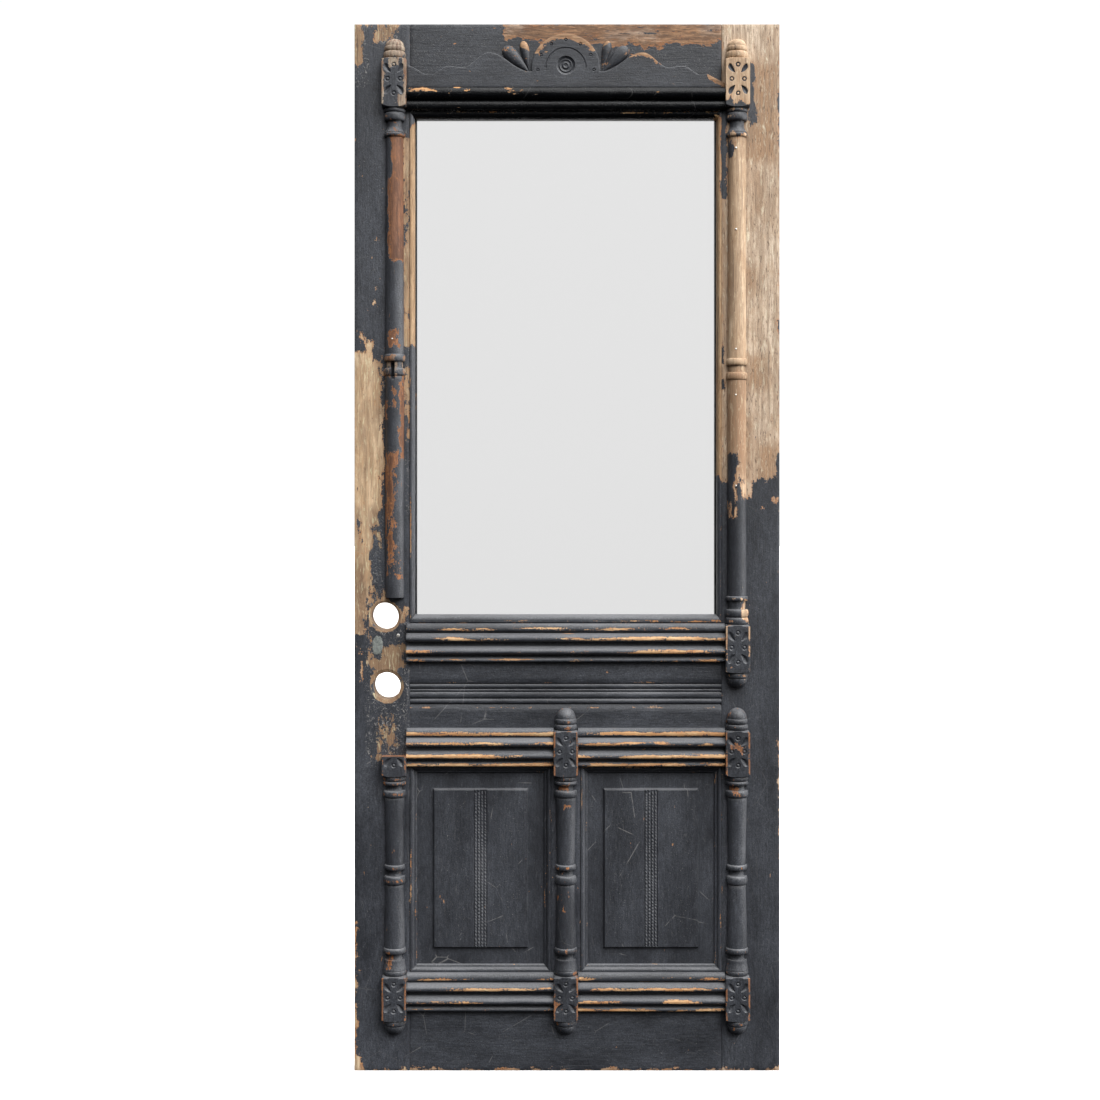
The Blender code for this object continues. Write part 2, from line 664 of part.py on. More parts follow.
def crest():
    """The board with its arch, the two fans, the eye, the pits and the groove, and a broken right end."""
    shape = bmesh.new()
    outline = [shape.verts.new((x, 0, z)) for x, z in crest_outline()]
    back = shape.faces.new(outline)
    front = bmesh.ops.extrude_face_region(shape, geom=[back])["geom"]
    front = [item for item in front if isinstance(item, bmesh.types.BMVert)]
    bmesh.ops.translate(shape, verts=front, vec=(0, -CREST_THICKNESS, 0))
    board = add("crest_board", shape, PAINT)
    for side in (-1, 1):
        for length, width, lean in ((0.064, 0.0134, 0.216), (0.072, 0.020, 0.80)):
            name = f"petal_{side + 1}_{length}"
            boolean(board, petal(name, length, width, 0.011, side * FAN_ROOT, 0.0305, side * lean), "UNION")
    boolean(board, block("behind_the_crest", (-WIDTH, 0, -HEIGHT), (WIDTH, THICKNESS, HEIGHT), cutter=True))
    eye = ((0, 0.002), (1, 0.002), (1, -0.002), (0.72, -0.0035), (0.68, -0.0022), (0.42, -0.0035),
           (0.24, -0.0018), (0.12, -0.003), (0, -0.003))
    eye = [(share * EYE_RADIUS, height) for share, height in eye]
    boolean(board, turned_cut("eye", eye, 0, ARCH_CENTRE + 0.0052, 16))
    ring_radius = ARCH_RADIUS - ARCH_DOT_INSET
    pit = ((0, 0.002), (0.0038, 0.002), (0.0022, -0.0015), (0, -0.0015))
    for number in range(7):
        angle = math.radians(90 + (number - 3) * 31.3)
        x, z = ring_radius * math.cos(angle), ARCH_CENTRE + ring_radius * math.sin(angle)
        boolean(board, turned_cut(f"pit_{number}", pit, x, z, 6))
    boolean(board, arch_groove())
    for step in board.modifiers:
        step.object.parent = board
    board.location = (MIDDLE, PLANTED, GLASS_TOP + HEAD_MOULD_HEIGHT + FIT)


LOCK_STILE, HINGE_STILE = frame_of_the_leaf()
lock_bores(LOCK_STILE)
hinge_gains(HINGE_STILE)
glass_and_beads()
panels_and_mouldings()
planted_mouldings()
split_turnings()
crest()
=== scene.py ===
from math import atan2, cos, degrees, exp, hypot, pi, radians, sin

import bmesh
import bpy
from bmesh import ops
from bmesh.types import BMEdge, BMVert
from bpy.types import NodeSocket
from mathutils import Matrix, Vector
from mathutils.noise import noise


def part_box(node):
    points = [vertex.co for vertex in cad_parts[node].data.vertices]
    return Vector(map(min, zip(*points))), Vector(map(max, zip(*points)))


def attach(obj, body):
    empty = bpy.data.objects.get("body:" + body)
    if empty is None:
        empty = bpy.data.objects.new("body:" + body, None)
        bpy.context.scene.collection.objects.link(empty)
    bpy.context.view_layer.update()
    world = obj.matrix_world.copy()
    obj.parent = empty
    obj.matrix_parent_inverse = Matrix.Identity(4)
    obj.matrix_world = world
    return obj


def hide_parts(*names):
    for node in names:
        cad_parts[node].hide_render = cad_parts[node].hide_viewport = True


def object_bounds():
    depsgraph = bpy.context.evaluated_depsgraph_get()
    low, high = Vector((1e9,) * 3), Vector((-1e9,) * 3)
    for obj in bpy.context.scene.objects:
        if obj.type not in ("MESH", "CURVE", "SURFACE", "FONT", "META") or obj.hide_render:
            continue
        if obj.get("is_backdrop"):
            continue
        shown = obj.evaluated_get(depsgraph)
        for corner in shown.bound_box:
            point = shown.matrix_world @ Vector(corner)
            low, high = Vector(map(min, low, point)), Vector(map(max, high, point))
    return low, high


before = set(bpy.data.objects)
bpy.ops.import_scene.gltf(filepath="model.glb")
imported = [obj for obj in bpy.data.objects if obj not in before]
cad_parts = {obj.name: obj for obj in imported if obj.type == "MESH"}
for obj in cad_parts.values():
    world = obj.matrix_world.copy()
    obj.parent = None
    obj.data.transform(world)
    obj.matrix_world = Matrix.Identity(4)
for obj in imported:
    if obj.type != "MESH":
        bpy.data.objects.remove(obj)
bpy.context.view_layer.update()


# Lock stile
# A planed softwood upright under old blue-black paint. The paint has come off round the locks, where a plate
# left a rough scar, and along the outer edge. Two bores go right through.

STILE_LOW, STILE_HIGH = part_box("lock_stile")
LEAF_LEFT = STILE_LOW.x
LEAF_FOOT = STILE_LOW.z
FACE = STILE_LOW.y
LEAF_BACK = STILE_HIGH.y
ARRIS = 0.0009


def feed(node, inputs):
    """Fills a node's inputs with values or with other nodes' outputs."""
    for name, value in inputs.items():
        if isinstance(value, NodeSocket):
            node.id_data.links.new(value, node.inputs[name])
        else:
            node.inputs[name].default_value = value


def shade(kind, inputs, result=0, **options):
    """Adds a shader node beside the ones that feed it, and gives its result."""
    tree = next(value.id_data for value in inputs.values() if isinstance(value, NodeSocket))
    made = tree.nodes.new("ShaderNode" + kind)
    for option, value in options.items():
        setattr(made, option, value)
    feed(made, inputs)
    return made.outputs[result]


def maths(operation, *values):
    return shade("Math", dict(enumerate(values)), operation=operation)


def mixed(share, first, second, mode="MIX"):
    """Two colours mixed by a share."""
    first, second = (tone if isinstance(tone, NodeSocket) else (*tone, 1) for tone in (first, second))
    return shade("Mix", {0: share, 6: first, 7: second}, 2, data_type="RGBA", blend_type=mode)


def between(value, low, high, start=0.0, end=1.0):
    """The value's place between two limits, from start to end and held there."""
    limits = {"From Min": low, "From Max": high, "To Min": start, "To Max": end}
    return shade("MapRange", {"Value": value, **limits})


def grain_noise(vector, scale, detail, roughness=0.55, distortion=0.0):
    return shade("TexNoise", {"Vector": vector, "Scale": scale, "Detail": detail, "Roughness": roughness,
                              "Distortion": distortion})


def swayed(wave, amount, base):
    """The base, moved up and down by a noise about its middle."""
    return maths("MULTIPLY_ADD", maths("SUBTRACT", wave, 0.5), amount, base)


def bumped(height, strength):
    """The surface's direction over a relief whose height is in metres."""
    return shade("Bump", {"Height": height, "Distance": 1.0, "Strength": strength})


def new_material(name, values):
    """A material with these values on its shader, the shader, and the place on the piece."""
    material = bpy.data.materials.new(name)
    material.use_nodes = True
    shader = material.node_tree.nodes["Principled BSDF"]
    feed(shader, values)
    return material, shader, material.node_tree.nodes.new("ShaderNodeTexCoord").outputs["Object"]


PAINT_DARK = (0.017, 0.0188, 0.0240)
PAINT_LIGHT = (0.045, 0.049, 0.059)
FRESH_WOOD = (0.42, 0.165, 0.050)


def weathered(name, pale, brown, stained, grain="Z", streak=0.38, chips=0.70, dust=0.70, depth_of_paint=1.0,
              dust_and_sheen_share=0.62, roughness=0.34, scratches=0.12, remains=0.70, marks=0.61, bubbles=0.0):
    """Old paint over wood. The mesh says how far inside bare and stained wood each point lies, in mm."""
    material, shader, place = new_material(name, {"IOR": 1.5})
    along, dash, fibre, line = (
        shade("Mapping", {"Vector": place, "Scale": (1, 1, share) if grain == "Z" else (share, 1, 1)})
        for share in (streak, 0.17, 0.07, 0.02))
    depths = []
    # The "dust" attribute holds settled dust on tops and a painted highlight on flanks facing the side light
    # and on rope crowns.
    for attribute in ("bare", "stain", "dust"):
        node = material.node_tree.nodes.new("ShaderNodeAttribute")
        node.attribute_name = attribute
        depths.append(node.outputs["Fac"])
    bare_depth, stain_depth, dust_and_sheen = depths
    depth = swayed(grain_noise(along, 58.0, 7.0, 0.70), 48.0, bare_depth)
    depth = swayed(grain_noise(place, 260.0, 4.0, 0.65), 15.0, depth)
    specks_left = maths("SUBTRACT", remains, grain_noise(dash, 170.0, 5.0, 0.66, 0.5))
    depth = maths("MINIMUM", depth, maths("MULTIPLY", specks_left, 90.0))
    chip = maths("SUBTRACT", grain_noise(along, 95.0, 5.0, 0.62, 0.4), chips)
    depth = maths("MAXIMUM", depth, maths("MULTIPLY", chip, 60.0))
    bare = between(depth, -0.25, 0.35)

    fibres = grain_noise(fibre, 300.0, 6.0, 0.70, 0.4)
    streaks = grain_noise(fibre, 95.0, 5.0, 0.70, 0.6)
    mottle = grain_noise(along, 30.0, 8.0, 0.74, 0.8)
    scrapes = grain_noise(dash, 210.0, 5.0, 0.70, 1.2)
    dashes = grain_noise(dash, 430.0, 3.0, 0.62, 0.4)
    cracks = grain_noise(line, 170.0, 4.0, 0.6, 0.5)
    stained_share = between(swayed(mottle, 90.0, stain_depth), -8.0, 16.0, 0.0, 0.90)
    fresh = maths("MULTIPLY", between(depth, 0.0, 5.0, 0.9, 0.0), between(streaks, 0.42, 0.56, 1.0, 0.35))
    fresh = maths("MULTIPLY", fresh, maths("SUBTRACT", 1.0, stained_share))
    wood = mixed(between(mottle, 0.38, 0.60), brown, pale)
    for share, tone in (
            (stained_share, stained),
            (between(streaks, 0.40, 0.56, 0.65, 0.0), [0.62 * part for part in brown]),
            (between(scrapes, 0.54, 0.70, 0.0, 0.60), [min(1.5 * part + 0.02, 0.80) for part in pale]),
            (between(fibres, 0.34, 0.52, 0.75, 0.0), [0.55 * part for part in brown]),
            (between(dashes, marks, marks + 0.07, 0.0, 0.75), (0.085, 0.050, 0.032)),
            (between(cracks, 0.62, 0.70, 0.0, 0.75), (0.05, 0.030, 0.020)),
            (fresh, FRESH_WOOD)):
        wood = mixed(share, wood, tone)

    coats = grain_noise(along, 14.0, 6.0, 0.65)
    grit = grain_noise(place, 420.0, 4.0, 0.7)
    brushed = grain_noise(dash, 260.0, 6.0, 0.72)
    specks = grain_noise(place, 520.0, 3.0, 0.6)
    scuffs = grain_noise(dash, 190.0, 6.0, 0.75, 1.5)
    hairs = shade("TexVoronoi", {"Vector": place, "Scale": 11.0}, feature="DISTANCE_TO_EDGE")
    hairs = maths("MULTIPLY", between(hairs, 0.0, 0.010, scratches, 0.0),
                  between(grain_noise(place, 17.0, 4.0, 0.6), 0.54, 0.60))
    bubbled = maths("MULTIPLY", between(grain_noise(place, 120.0, 5.0, 0.7, 2.2), 0.56, 0.64),
                    between(stain_depth, 0.0, 4.0, 0.0, bubbles))
    # Pale cover over the paint: settled dust on tops, and painted sheen where the attribute stands for light.
    dust_and_sheen_cover = swayed(grit, 1.2, swayed(coats, 1.4, dust_and_sheen))
    # A pale line just inside the paint's broken edges: a painted highlight along the chip edges.
    rim = maths("MULTIPLY", between(depth, -1.3, -0.35), between(depth, -0.35, -0.2, 0.25, 0.0))
    dark, light = ([depth_of_paint * part for part in colour] for colour in (PAINT_DARK, PAINT_LIGHT))
    paint = mixed(between(coats, 0.34, 0.64), dark, light)
    paint = mixed(1.0, paint, between(brushed, 0.36, 0.64, 0.76, 1.28), "MULTIPLY")
    paint = mixed(1.0, paint, between(grit, 0.34, 0.66, 0.60, 1.55), "MULTIPLY")
    for share, tone in (
            (between(specks, dust, dust + 0.04, 0.0, 0.75 * depth_of_paint), (0.36, 0.35, 0.33)),
            (between(scuffs, 0.57, 0.74, 0.0, 0.42 * depth_of_paint), (0.165, 0.165, 0.172)),
            (hairs, (0.30, 0.29, 0.28)),
            (bubbled, (0.27, 0.26, 0.25)),
            (between(dust_and_sheen_cover, 0.25, 0.95, 0.0, dust_and_sheen_share), (0.165, 0.167, 0.175)),
            (rim, (0.16, 0.15, 0.15))):
        paint = mixed(share, paint, tone)

    rough = maths("MAXIMUM", maths("MULTIPLY_ADD", grit, 0.30, roughness), maths("MULTIPLY", bare, 0.72))
    height = maths("MULTIPLY", grain_noise(along, 90.0, 5.0, 0.65), 0.0007)
    for relief, rise in ((grit, 0.00060), (bare, -0.00055), (fibres, 0.00075), (bubbled, 0.0008)):
        height = maths("MULTIPLY_ADD", relief, rise, height)
    feed(shader, {"Base Color": mixed(bare, paint, wood), "Roughness": rough, "Normal": bumped(height, 0.8)})
    return material


def lies_along(edge, axis):
    step = edge.verts[1].co - edge.verts[0].co
    return abs(step[axis]) > 0.98 * step.length and step.length > 0.012


def plank(node, across, up, edge, patches, kept=(), mottled=(), stains=(), cutters=()):
    """A planed board in a node's place, its front's edges rubbed away, then cut and weathered."""
    low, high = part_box(node)
    shape = bmesh.new()
    place = Matrix.Translation((low + high) / 2) @ Matrix.Diagonal((*(high - low), 1))
    ops.create_cube(shape, size=1, matrix=place)
    ops.bevel(shape, geom=shape.edges[:], offset=ARRIS, segments=2, profile=0.5, affect="EDGES", material=-1)
    for axis, cuts in ((2, up), (0, across)):
        runs = [edge for edge in shape.edges if lies_along(edge, axis)]
        ops.subdivide_edges(shape, edges=runs, cuts=cuts, use_grid_fill=True)
    for vert in shape.verts:
        if vert.co.y <= FACE + 0.004:
            x, z = vert.co.xz
            rim = min(x - low.x, high.x - x, z - low.z, high.z - z)
            bite = max(noise(vert.co * 42), 0) * 0.0011 * exp(-max(rim, 0) / 0.003)
            vert.co.y += bite + 0.00016 * (1 + noise(vert.co * 9))
    shape = carved(shape, cutters) if cutters else shape
    weather(shape, patches, kept, mottled, stains, (low, high, edge))
    return shape


def inside(x, z, patches):
    """How far a point lies inside the nearest patch, in millimetres: negative outside them all."""
    across, up = (x - LEAF_LEFT) * 1000, (z - LEAF_FOOT) * 1000
    across += 3.5 * noise(Vector((x * 25, 3.1, z * 45))) + 1.8 * noise(Vector((x * 90, 1.7, z * 150)))
    up += 9.0 * noise(Vector((x * 70, 8.3, z * 16))) + 4.0 * noise(Vector((x * 190, 5.9, z * 40)))
    deepest = -25.0
    for left, right, low, high in patches:
        deepest = max(deepest, min(across - left, right - across, up - low, high - up))
    return deepest


def layer_of(shape, name, start=0.0):
    """The mesh's layer of that name. A new one is filled with its start value."""
    layer = shape.verts.layers.float.get(name)
    if layer is None:
        layer = shape.verts.layers.float.new(name)
        for vert in shape.verts:
            vert[layer] = start
    return layer


def weather(shape, patches=(), kept=(), mottled=(), stains=(), edges=None):
    """Writes how deep each point lies in bare and stained wood. Mottled patches are half bare."""
    layer, stain = layer_of(shape, "bare", -25.0), layer_of(shape, "stain")
    for vert in shape.verts:
        x, z = vert.co.xz
        depth = max(vert[layer], 1.2 * inside(x, z, patches), min(1.2 * inside(x, z, mottled), 0.8))
        if edges:
            low, high, edge = edges
            rim = 1000 * min(x - low.x, high.x - x, z - low.z, high.z - z)
            depth = max(depth, edge - 2.2 * max(rim - 0.8, 0))
        vert[layer] = min(depth, -1.2 * inside(x, z, kept))
        vert[stain] = inside(x, z, stains)


def placed(name, data):
    """An object of the scene, at the origin."""
    made = bpy.data.objects.new(name, data)
    bpy.context.scene.collection.objects.link(made)
    return made


def shown(name, shape, material, *nodes, slot="painted_wood", crease=38.0):
    """Makes the piece, which stands for these nodes of the model."""
    ops.recalc_face_normals(shape, faces=shape.faces)
    dust_and_sheen = layer_of(shape, "dust")
    # Tops take settled dust; flanks facing right take a painted highlight for the side light.
    for vert in shape.verts:
        vert[dust_and_sheen] = max(vert[dust_and_sheen], vert.normal.z, 0.5 * vert.normal.x)
    mesh = bpy.data.meshes.new(name)
    shape.to_mesh(mesh)
    shape.free()
    mesh.materials.append(material)
    mesh.shade_smooth()
    mesh.set_sharp_from_angle(angle=radians(crease))
    piece = placed(name, mesh)
    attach(piece, "root")
    if nodes:
        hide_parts(*nodes)


def turned_cutter(points, x, y, z, steps):
    """A closed cutter turned about an axis through the thickness, from (radius, y) points."""
    shape = bmesh.new()
    rim = [shape.verts.new((radius, depth, 0)) for radius, depth in points]
    edges = [shape.edges.new(pair) for pair in zip(rim, rim[1:])]
    ops.spin(shape, geom=edges, cent=(0, 0, 0), axis=(0, 1, 0), angle=2 * pi, steps=steps,
             use_merge=True, use_duplicate=False)
    ops.remove_doubles(shape, verts=shape.verts, dist=0.00001)
    ops.recalc_face_normals(shape, faces=shape.faces)
    ops.translate(shape, verts=shape.verts, vec=(x, y, z))
    return shape


def carved(shape, cutters, operation="DIFFERENCE"):
    """The shape after Boolean cuts by other shapes, as a new shape."""
    holders = []
    for part in (shape, *cutters):
        mesh = bpy.data.meshes.new("shape")
        ops.recalc_face_normals(part, faces=part.faces)
        part.to_mesh(mesh)
        part.free()
        holders.append(placed("shape", mesh))
    for cutter in holders[1:]:
        step = holders[0].modifiers.new("cut", "BOOLEAN")
        step.operation = operation
        step.solver = "EXACT"
        step.object = cutter
    ready = holders[0].evaluated_get(bpy.context.evaluated_depsgraph_get())
    result = bmesh.new()
    result.from_mesh(ready.to_mesh())
    for holder in holders:
        bpy.data.objects.remove(holder)
    return result


LOCK_WOOD = weathered("lock_stile_paint", (0.70, 0.52, 0.34), (0.46, 0.295, 0.165), (0.135, 0.068, 0.036),
                      depth_of_paint=0.95, remains=0.655, marks=0.66, bubbles=0.8)
LOCK_BARE = (
    (-5, 14, 2000, 2085), (42, 50, 2052, 2085), (3, 7, 1852, 1864), (43, 48, 1645, 1651),
    (33, 37, 1606, 1619), (36, 39, 1543, 1551), (37, 41, 1519, 1525), (11, 18, 1453, 1471),
    (-5, 57, 1085, 1426), (22, 35, 1420, 1444), (-5, 36, 960, 1100), (45, 52, 1033, 1069),
    (-5, 26, 868, 965), (58, 97, 799, 844), (36, 58, 800, 818), (98, 107, 894, 920), (10, 15, 776, 812),
    (-5, 11, -5, 28), (98, 113, 1440, 1856), (100, 113, 1250, 1400), (-3, 3, 30, 300),
    (34, 101, 622, 626), (29, 35, 806, 866),
)
LOCK_KEPT = (
    (47, 54, 1165, 1180), (8, 14, 1026, 1090), (36, 58, 1408, 1436), (45, 60, 1085, 1110),
    (36, 60, 966, 1040), (50, 58, 1330, 1400), (58, 92, 845, 872), (16, 24, 860, 900),
)
LOCK_MOTTLED = (
    (38, 86, 2048, 2084), (26, 66, 930, 970), (46, 92, 636, 704), (2, 12, 826, 850), (54, 94, 808, 850),
)
FOOT_MOTTLED = ((-5, 855, -12, 2),)
LOCK_STAINS = (
    (-5, 30, 1950, 2085), (42, 92, 2040, 2085), (20, 112, 600, 925), (28, 60, 900, 1120),
    (-5, 30, 868, 1010), (2, 14, 1010, 1120), (14, 24, 1180, 1330), (40, 60, 1300, 1420),
    (98, 113, 1100, 1900),
)
BORES = ((-0.7816, -0.1373, 0.032), (-0.7776, -0.2756, 0.034))
BORE_RADIUS = 0.027
WORN = 0.0026

cutters = []
for x, z, rim in BORES:
    hole = [(0, 0.08), (BORE_RADIUS, 0.08), (BORE_RADIUS, WORN), (BORE_RADIUS + 0.0012, WORN * 0.72),
            (rim - 0.0016, WORN * 0.45), (rim, -0.001), (rim, -0.01), (0, -0.01)]
    cutters.append(turned_cutter(hole, x, FACE, z, 56))
mottled = LOCK_MOTTLED + FOOT_MOTTLED
stile = plank("lock_stile", 15, 260, -7.0, LOCK_BARE, LOCK_KEPT, mottled, LOCK_STAINS, cutters)
layer = layer_of(stile, "bare")
for vert in stile.verts:
    if any(hypot(vert.co.x - x, vert.co.z - z) < rim + 0.0002 for x, z, rim in BORES):
        vert[layer] = max(vert[layer], 5.0)
shown("lock_stile_board", stile, LOCK_WOOD, "lock_stile", crease=30.0)


# Filled keyhole
# An old keyhole between the bores, filled with a rough slab of grey putty.

PUTTY_PLACE = Vector((-0.7960, FACE, -0.1949))
PUTTY_HALF = (0.0098, 0.0176)
PUTTY_RISE = 0.0016

putty = bmesh.new()
ops.create_uvsphere(putty, u_segments=64, v_segments=48, radius=1)
for vert in putty.verts:
    out = vert.co.copy()
    x, y, z = out
    ragged = 1 + 0.16 * noise(out * 2.2) + 0.07 * noise(out * 6)
    ragged *= (abs(x) ** 3 + abs(z) ** 3 + 0.001) ** (-1 / 3) * hypot(x, z)
    lump = 1 + 0.35 * noise(out * 3.5)
    vert.co = (PUTTY_HALF[0] * x * ragged, PUTTY_RISE * y * lump, PUTTY_HALF[1] * z * ragged)
    vert.co += PUTTY_PLACE
PUTTY, shader, place = new_material("grey_putty", {"Roughness": 0.7})
smears = grain_noise(place, 70.0, 5.0, 0.7, 1.0)
crumbs = grain_noise(place, 420.0, 4.0, 0.7)
tone = mixed(between(smears, 0.35, 0.62), (0.095, 0.105, 0.098), (0.215, 0.232, 0.215))
tone = mixed(between(crumbs, 0.58, 0.70, 0.0, 0.7), tone, (0.05, 0.045, 0.04))
feed(shader, {"Base Color": tone, "Normal": bumped(maths("MULTIPLY", crumbs, 0.0008), 1.0)})
shown("keyhole_putty", putty, PUTTY)


# Hinge stile
# The other upright. Its upper half has lost its paint and weathered to a pale brown, with gains for three
# hinges cut in the outer edge.

HINGE_WOOD = weathered("hinge_stile_paint", (0.61, 0.485, 0.365), (0.41, 0.28, 0.18), (0.31, 0.18, 0.095),
                       depth_of_paint=0.80, remains=0.69, marks=0.585)
HINGE_BARE = ((725, 850, 1174, 2090), (768, 792, 1140, 1190), (806, 812, 1120, 1126), (829, 834, 1131, 1138),
              (835, 850, -5, 12), (845, 852, 380, 760))
HINGE_KEPT = ((841, 852, 1836, 1950), (840, 852, 1466, 1496), (838, 852, 1160, 1232), (782, 795, 1963, 2003),
              (782, 796, 1886, 1956), (726, 739, 1730, 1911), (725, 733, 1360, 1380), (725, 733, 1410, 1440))
HINGE_STAINS = (
    (765, 850, 1800, 2010), (790, 815, 1700, 1790), (775, 830, 1350, 1425), (745, 790, 1170, 1300),
    (795, 850, 1150, 1250), (722, 740, 1100, 1900), (770, 800, 1540, 1600),
)
GAIN_LEVELS = (0.811, 0.0, -0.735)
GAIN_HALF = 0.051
GAIN_SETBACK = 0.007
GAIN_DEPTH = 0.003

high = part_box("hinge_stile")[1]
cutters = []
for level in GAIN_LEVELS:
    gain = bmesh.new()
    size = Matrix.Diagonal((2 * GAIN_DEPTH, 0.1, 2 * GAIN_HALF, 1))
    place = Matrix.Translation((high.x, FACE + GAIN_SETBACK + 0.05, level))
    ops.create_cube(gain, size=1, matrix=place @ size)
    cutters.append(gain)
stile = plank("hinge_stile", 16, 260, -6.0, HINGE_BARE, HINGE_KEPT, FOOT_MOTTLED, HINGE_STAINS, cutters)
layer = layer_of(stile, "bare")
for vert in stile.verts:
    if high.x - 0.0035 < vert.co.x < high.x - 0.002 and vert.co.y > FACE + GAIN_SETBACK - 0.001:
        vert[layer] = 8.0
shown("hinge_stile_board", stile, HINGE_WOOD, "hinge_stile", crease=30.0)


# Top rail
# The plain rail behind the crest. Its upper edge is bare and brown on the right.

TOP_WOOD = weathered("top_rail_paint", (0.36, 0.20, 0.10), (0.11, 0.052, 0.026), (0.38, 0.30, 0.235),
                     grain="X", chips=0.69, depth_of_paint=0.62, dust=0.645, remains=0.62, marks=0.555)
TOP_BARE = ((297, 380, 2047, 2090), (365, 560, 2040, 2090), (550, 605, 2033, 2090), (600, 668, 2039, 2090),
            (660, 742, 2043, 2090))
TOP_STAINS = ((302, 335, 2066, 2084), (500, 600, 2052, 2066), (695, 735, 2064, 2084))

shown("top_rail_board", plank("top_rail", 80, 26, -8.0, TOP_BARE, stains=TOP_STAINS), TOP_WOOD, "top_rail")


# Lock rail
# The deep rail between glass and panels, with a sunk band of four reeds worked along its face.

RAIL_WOOD = weathered("rail_paint", (0.50, 0.36, 0.235), (0.33, 0.205, 0.12), (0.30, 0.16, 0.08), grain="X",
                      chips=0.72, scratches=0.3, depth_of_paint=0.82)
BAND_RISE = 0.089
BAND_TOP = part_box("belt_moulding_left")[1].z + BAND_RISE
BAND_DEPTH = 0.004
BAND_FILLET = 0.002
BAND_CHAMFER = 0.006
BAND_GAP = 0.0012
BAND_BEADS = ((0.0095, 0.0034), (0.0045, 0.0020), (0.0125, 0.0030), (0.0100, 0.0034))
RAIL_BARE = ((150, 156, 861, 866), (356, 360, 846, 850), (612, 620, 870, 873), (505, 509, 782, 786))


def reed(z, height, floor, out, steps=12, fullness=0.6, wear=-7.0, droop=1.0):
    """A reed as (out, z, depth in bare wood) points, top to foot. A droop under 1 lowers its crown."""
    points = []
    for step in range(steps + 1):
        angle = pi * step / steps
        swell = max(sin(angle), 0) ** fullness
        share = ((1 - cos(angle)) / 2) ** droop
        crown = abs(share - (0.62 if droop < 1 else 0.5)) * height * 1000
        points.append((floor + (out - floor) * swell, z - height * share, wear - 2.4 * max(crown - 1.9, 0)))
    return points


def run_along(points, start, end, cuts, slope=0.0):
    """A section of (y, z, depth inside bare wood) points run along X, its ends mitred by a slope."""
    shape = bmesh.new()
    layer = shape.verts.layers.float.new("bare")
    corners = []
    for y, z, depth in points:
        vert = shape.verts.new((start, y, z))
        vert[layer] = depth
        corners.append(vert)
    section = shape.faces.new(corners)
    ends = ops.extrude_face_region(shape, geom=[section])["geom"]
    far = [item for item in ends if isinstance(item, BMVert)]
    ops.translate(shape, verts=far, vec=(end - start, 0, 0))
    for vert in shape.verts:
        vert.co.x += (slope if vert in far else -slope) * vert.co.z
    runs = [edge for edge in shape.edges if edge.verts[0].co.x * edge.verts[1].co.x < 0
            or abs(edge.verts[0].co.x - edge.verts[1].co.x) > 0.9 * abs(end - start)]
    ops.subdivide_edges(shape, edges=runs, cuts=cuts, use_grid_fill=True)
    return shape


low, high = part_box("lock_rail")
sunk = FACE + BAND_DEPTH
points = [(LEAF_BACK, high.z, -25), (FACE + 0.0008, high.z, -4), (FACE, high.z - 0.0008, -4)]
points += [(FACE, high.z + (BAND_TOP - high.z) * share / 10, -25) for share in range(1, 10)]
points += [(FACE, BAND_TOP + 0.0006, -5), (FACE + 0.0004, BAND_TOP, -5)]
z = BAND_TOP - BAND_FILLET
for height, out in BAND_BEADS:
    points += [(sunk - step, drop, depth - 4) for step, drop, depth in reed(z, height, 0, out, 10, 1)]
    z -= height + BAND_GAP
points += [(sunk, z, -12), (FACE, z - BAND_CHAMFER, -4)]
foot = z - BAND_CHAMFER
points += [(FACE, foot + (low.z - foot) * share / 12, -25) for share in range(1, 13)]
points.append((LEAF_BACK, low.z, -25))
rail = run_along(points, low.x, high.x, 78)
weather(rail, RAIL_BARE)
shown("lock_rail_board", rail, RAIL_WOOD, "lock_rail")


# Bottom rail and muntin
# Plain boards. The muntin stands between the two panels.

FOOT_BARE = ((105, 128, -5, 5), (300, 330, -5, 4), (600, 640, -5, 3))
for node, across, up, wood in (("bottom_rail", 80, 26, RAIL_WOOD), ("muntin", 9, 60, LOCK_WOOD)):
    shown(node + "_board", plank(node, across, up, -7.0, FOOT_BARE, mottled=FOOT_MOTTLED), wood, node)


# Raised panels
# Each panel's field stands up behind a bevel, and four fine roped beads run down its middle.

TONGUE_DEPTH = 0.021
TONGUE_THICKNESS = 0.0098
PANEL_WOOD = weathered("panel_paint", (0.45, 0.27, 0.14), (0.30, 0.17, 0.09), (0.30, 0.16, 0.08),
                       chips=0.715, dust=0.68, scratches=0.5, depth_of_paint=0.86)
FIELD_RISE = 0.007
FIELD_BEVEL = 0.004
PANEL_BORDER = 0.0445
STRIP_WIDTH = 0.025
STRIP_BEADS = 4
ROPE_PITCH = 0.0066
OPENING = 0.0097
MARGIN = FACE + 0.011


def panel_height(x, z, half_x, half_z):
    """How far the panel's front stands over its margin, at a place from its middle."""
    edge = min(half_x - PANEL_BORDER - abs(x), half_z - PANEL_BORDER - abs(z))
    rise = FIELD_RISE * min(max(edge / FIELD_BEVEL, 0), 1)
    pitch = STRIP_WIDTH / STRIP_BEADS
    if abs(x) < STRIP_WIDTH / 2 + 0.001 and edge > FIELD_BEVEL:
        across = abs((x / pitch) % 1 - 0.5) * 2
        valley = 0.0030 * max(across - 0.20, 0) ** 1.5 / 0.72
        rise -= valley + 0.0012 * rope_twist(x, z) * (1 - 0.6 * across)
    return rise


def rope_twist(x, z):
    """How far down a place on the roped beads lies, from 0 on a strand to 1 between two."""
    pitch = STRIP_WIDTH / STRIP_BEADS
    phase = (x / pitch) % 1 - 0.5
    uneven = 0.9 * noise(Vector((x * 60, 3.0, z * 45)))
    return 0.5 + 0.5 * sin(2 * pi * (z / ROPE_PITCH + 0.8 * phase + uneven))


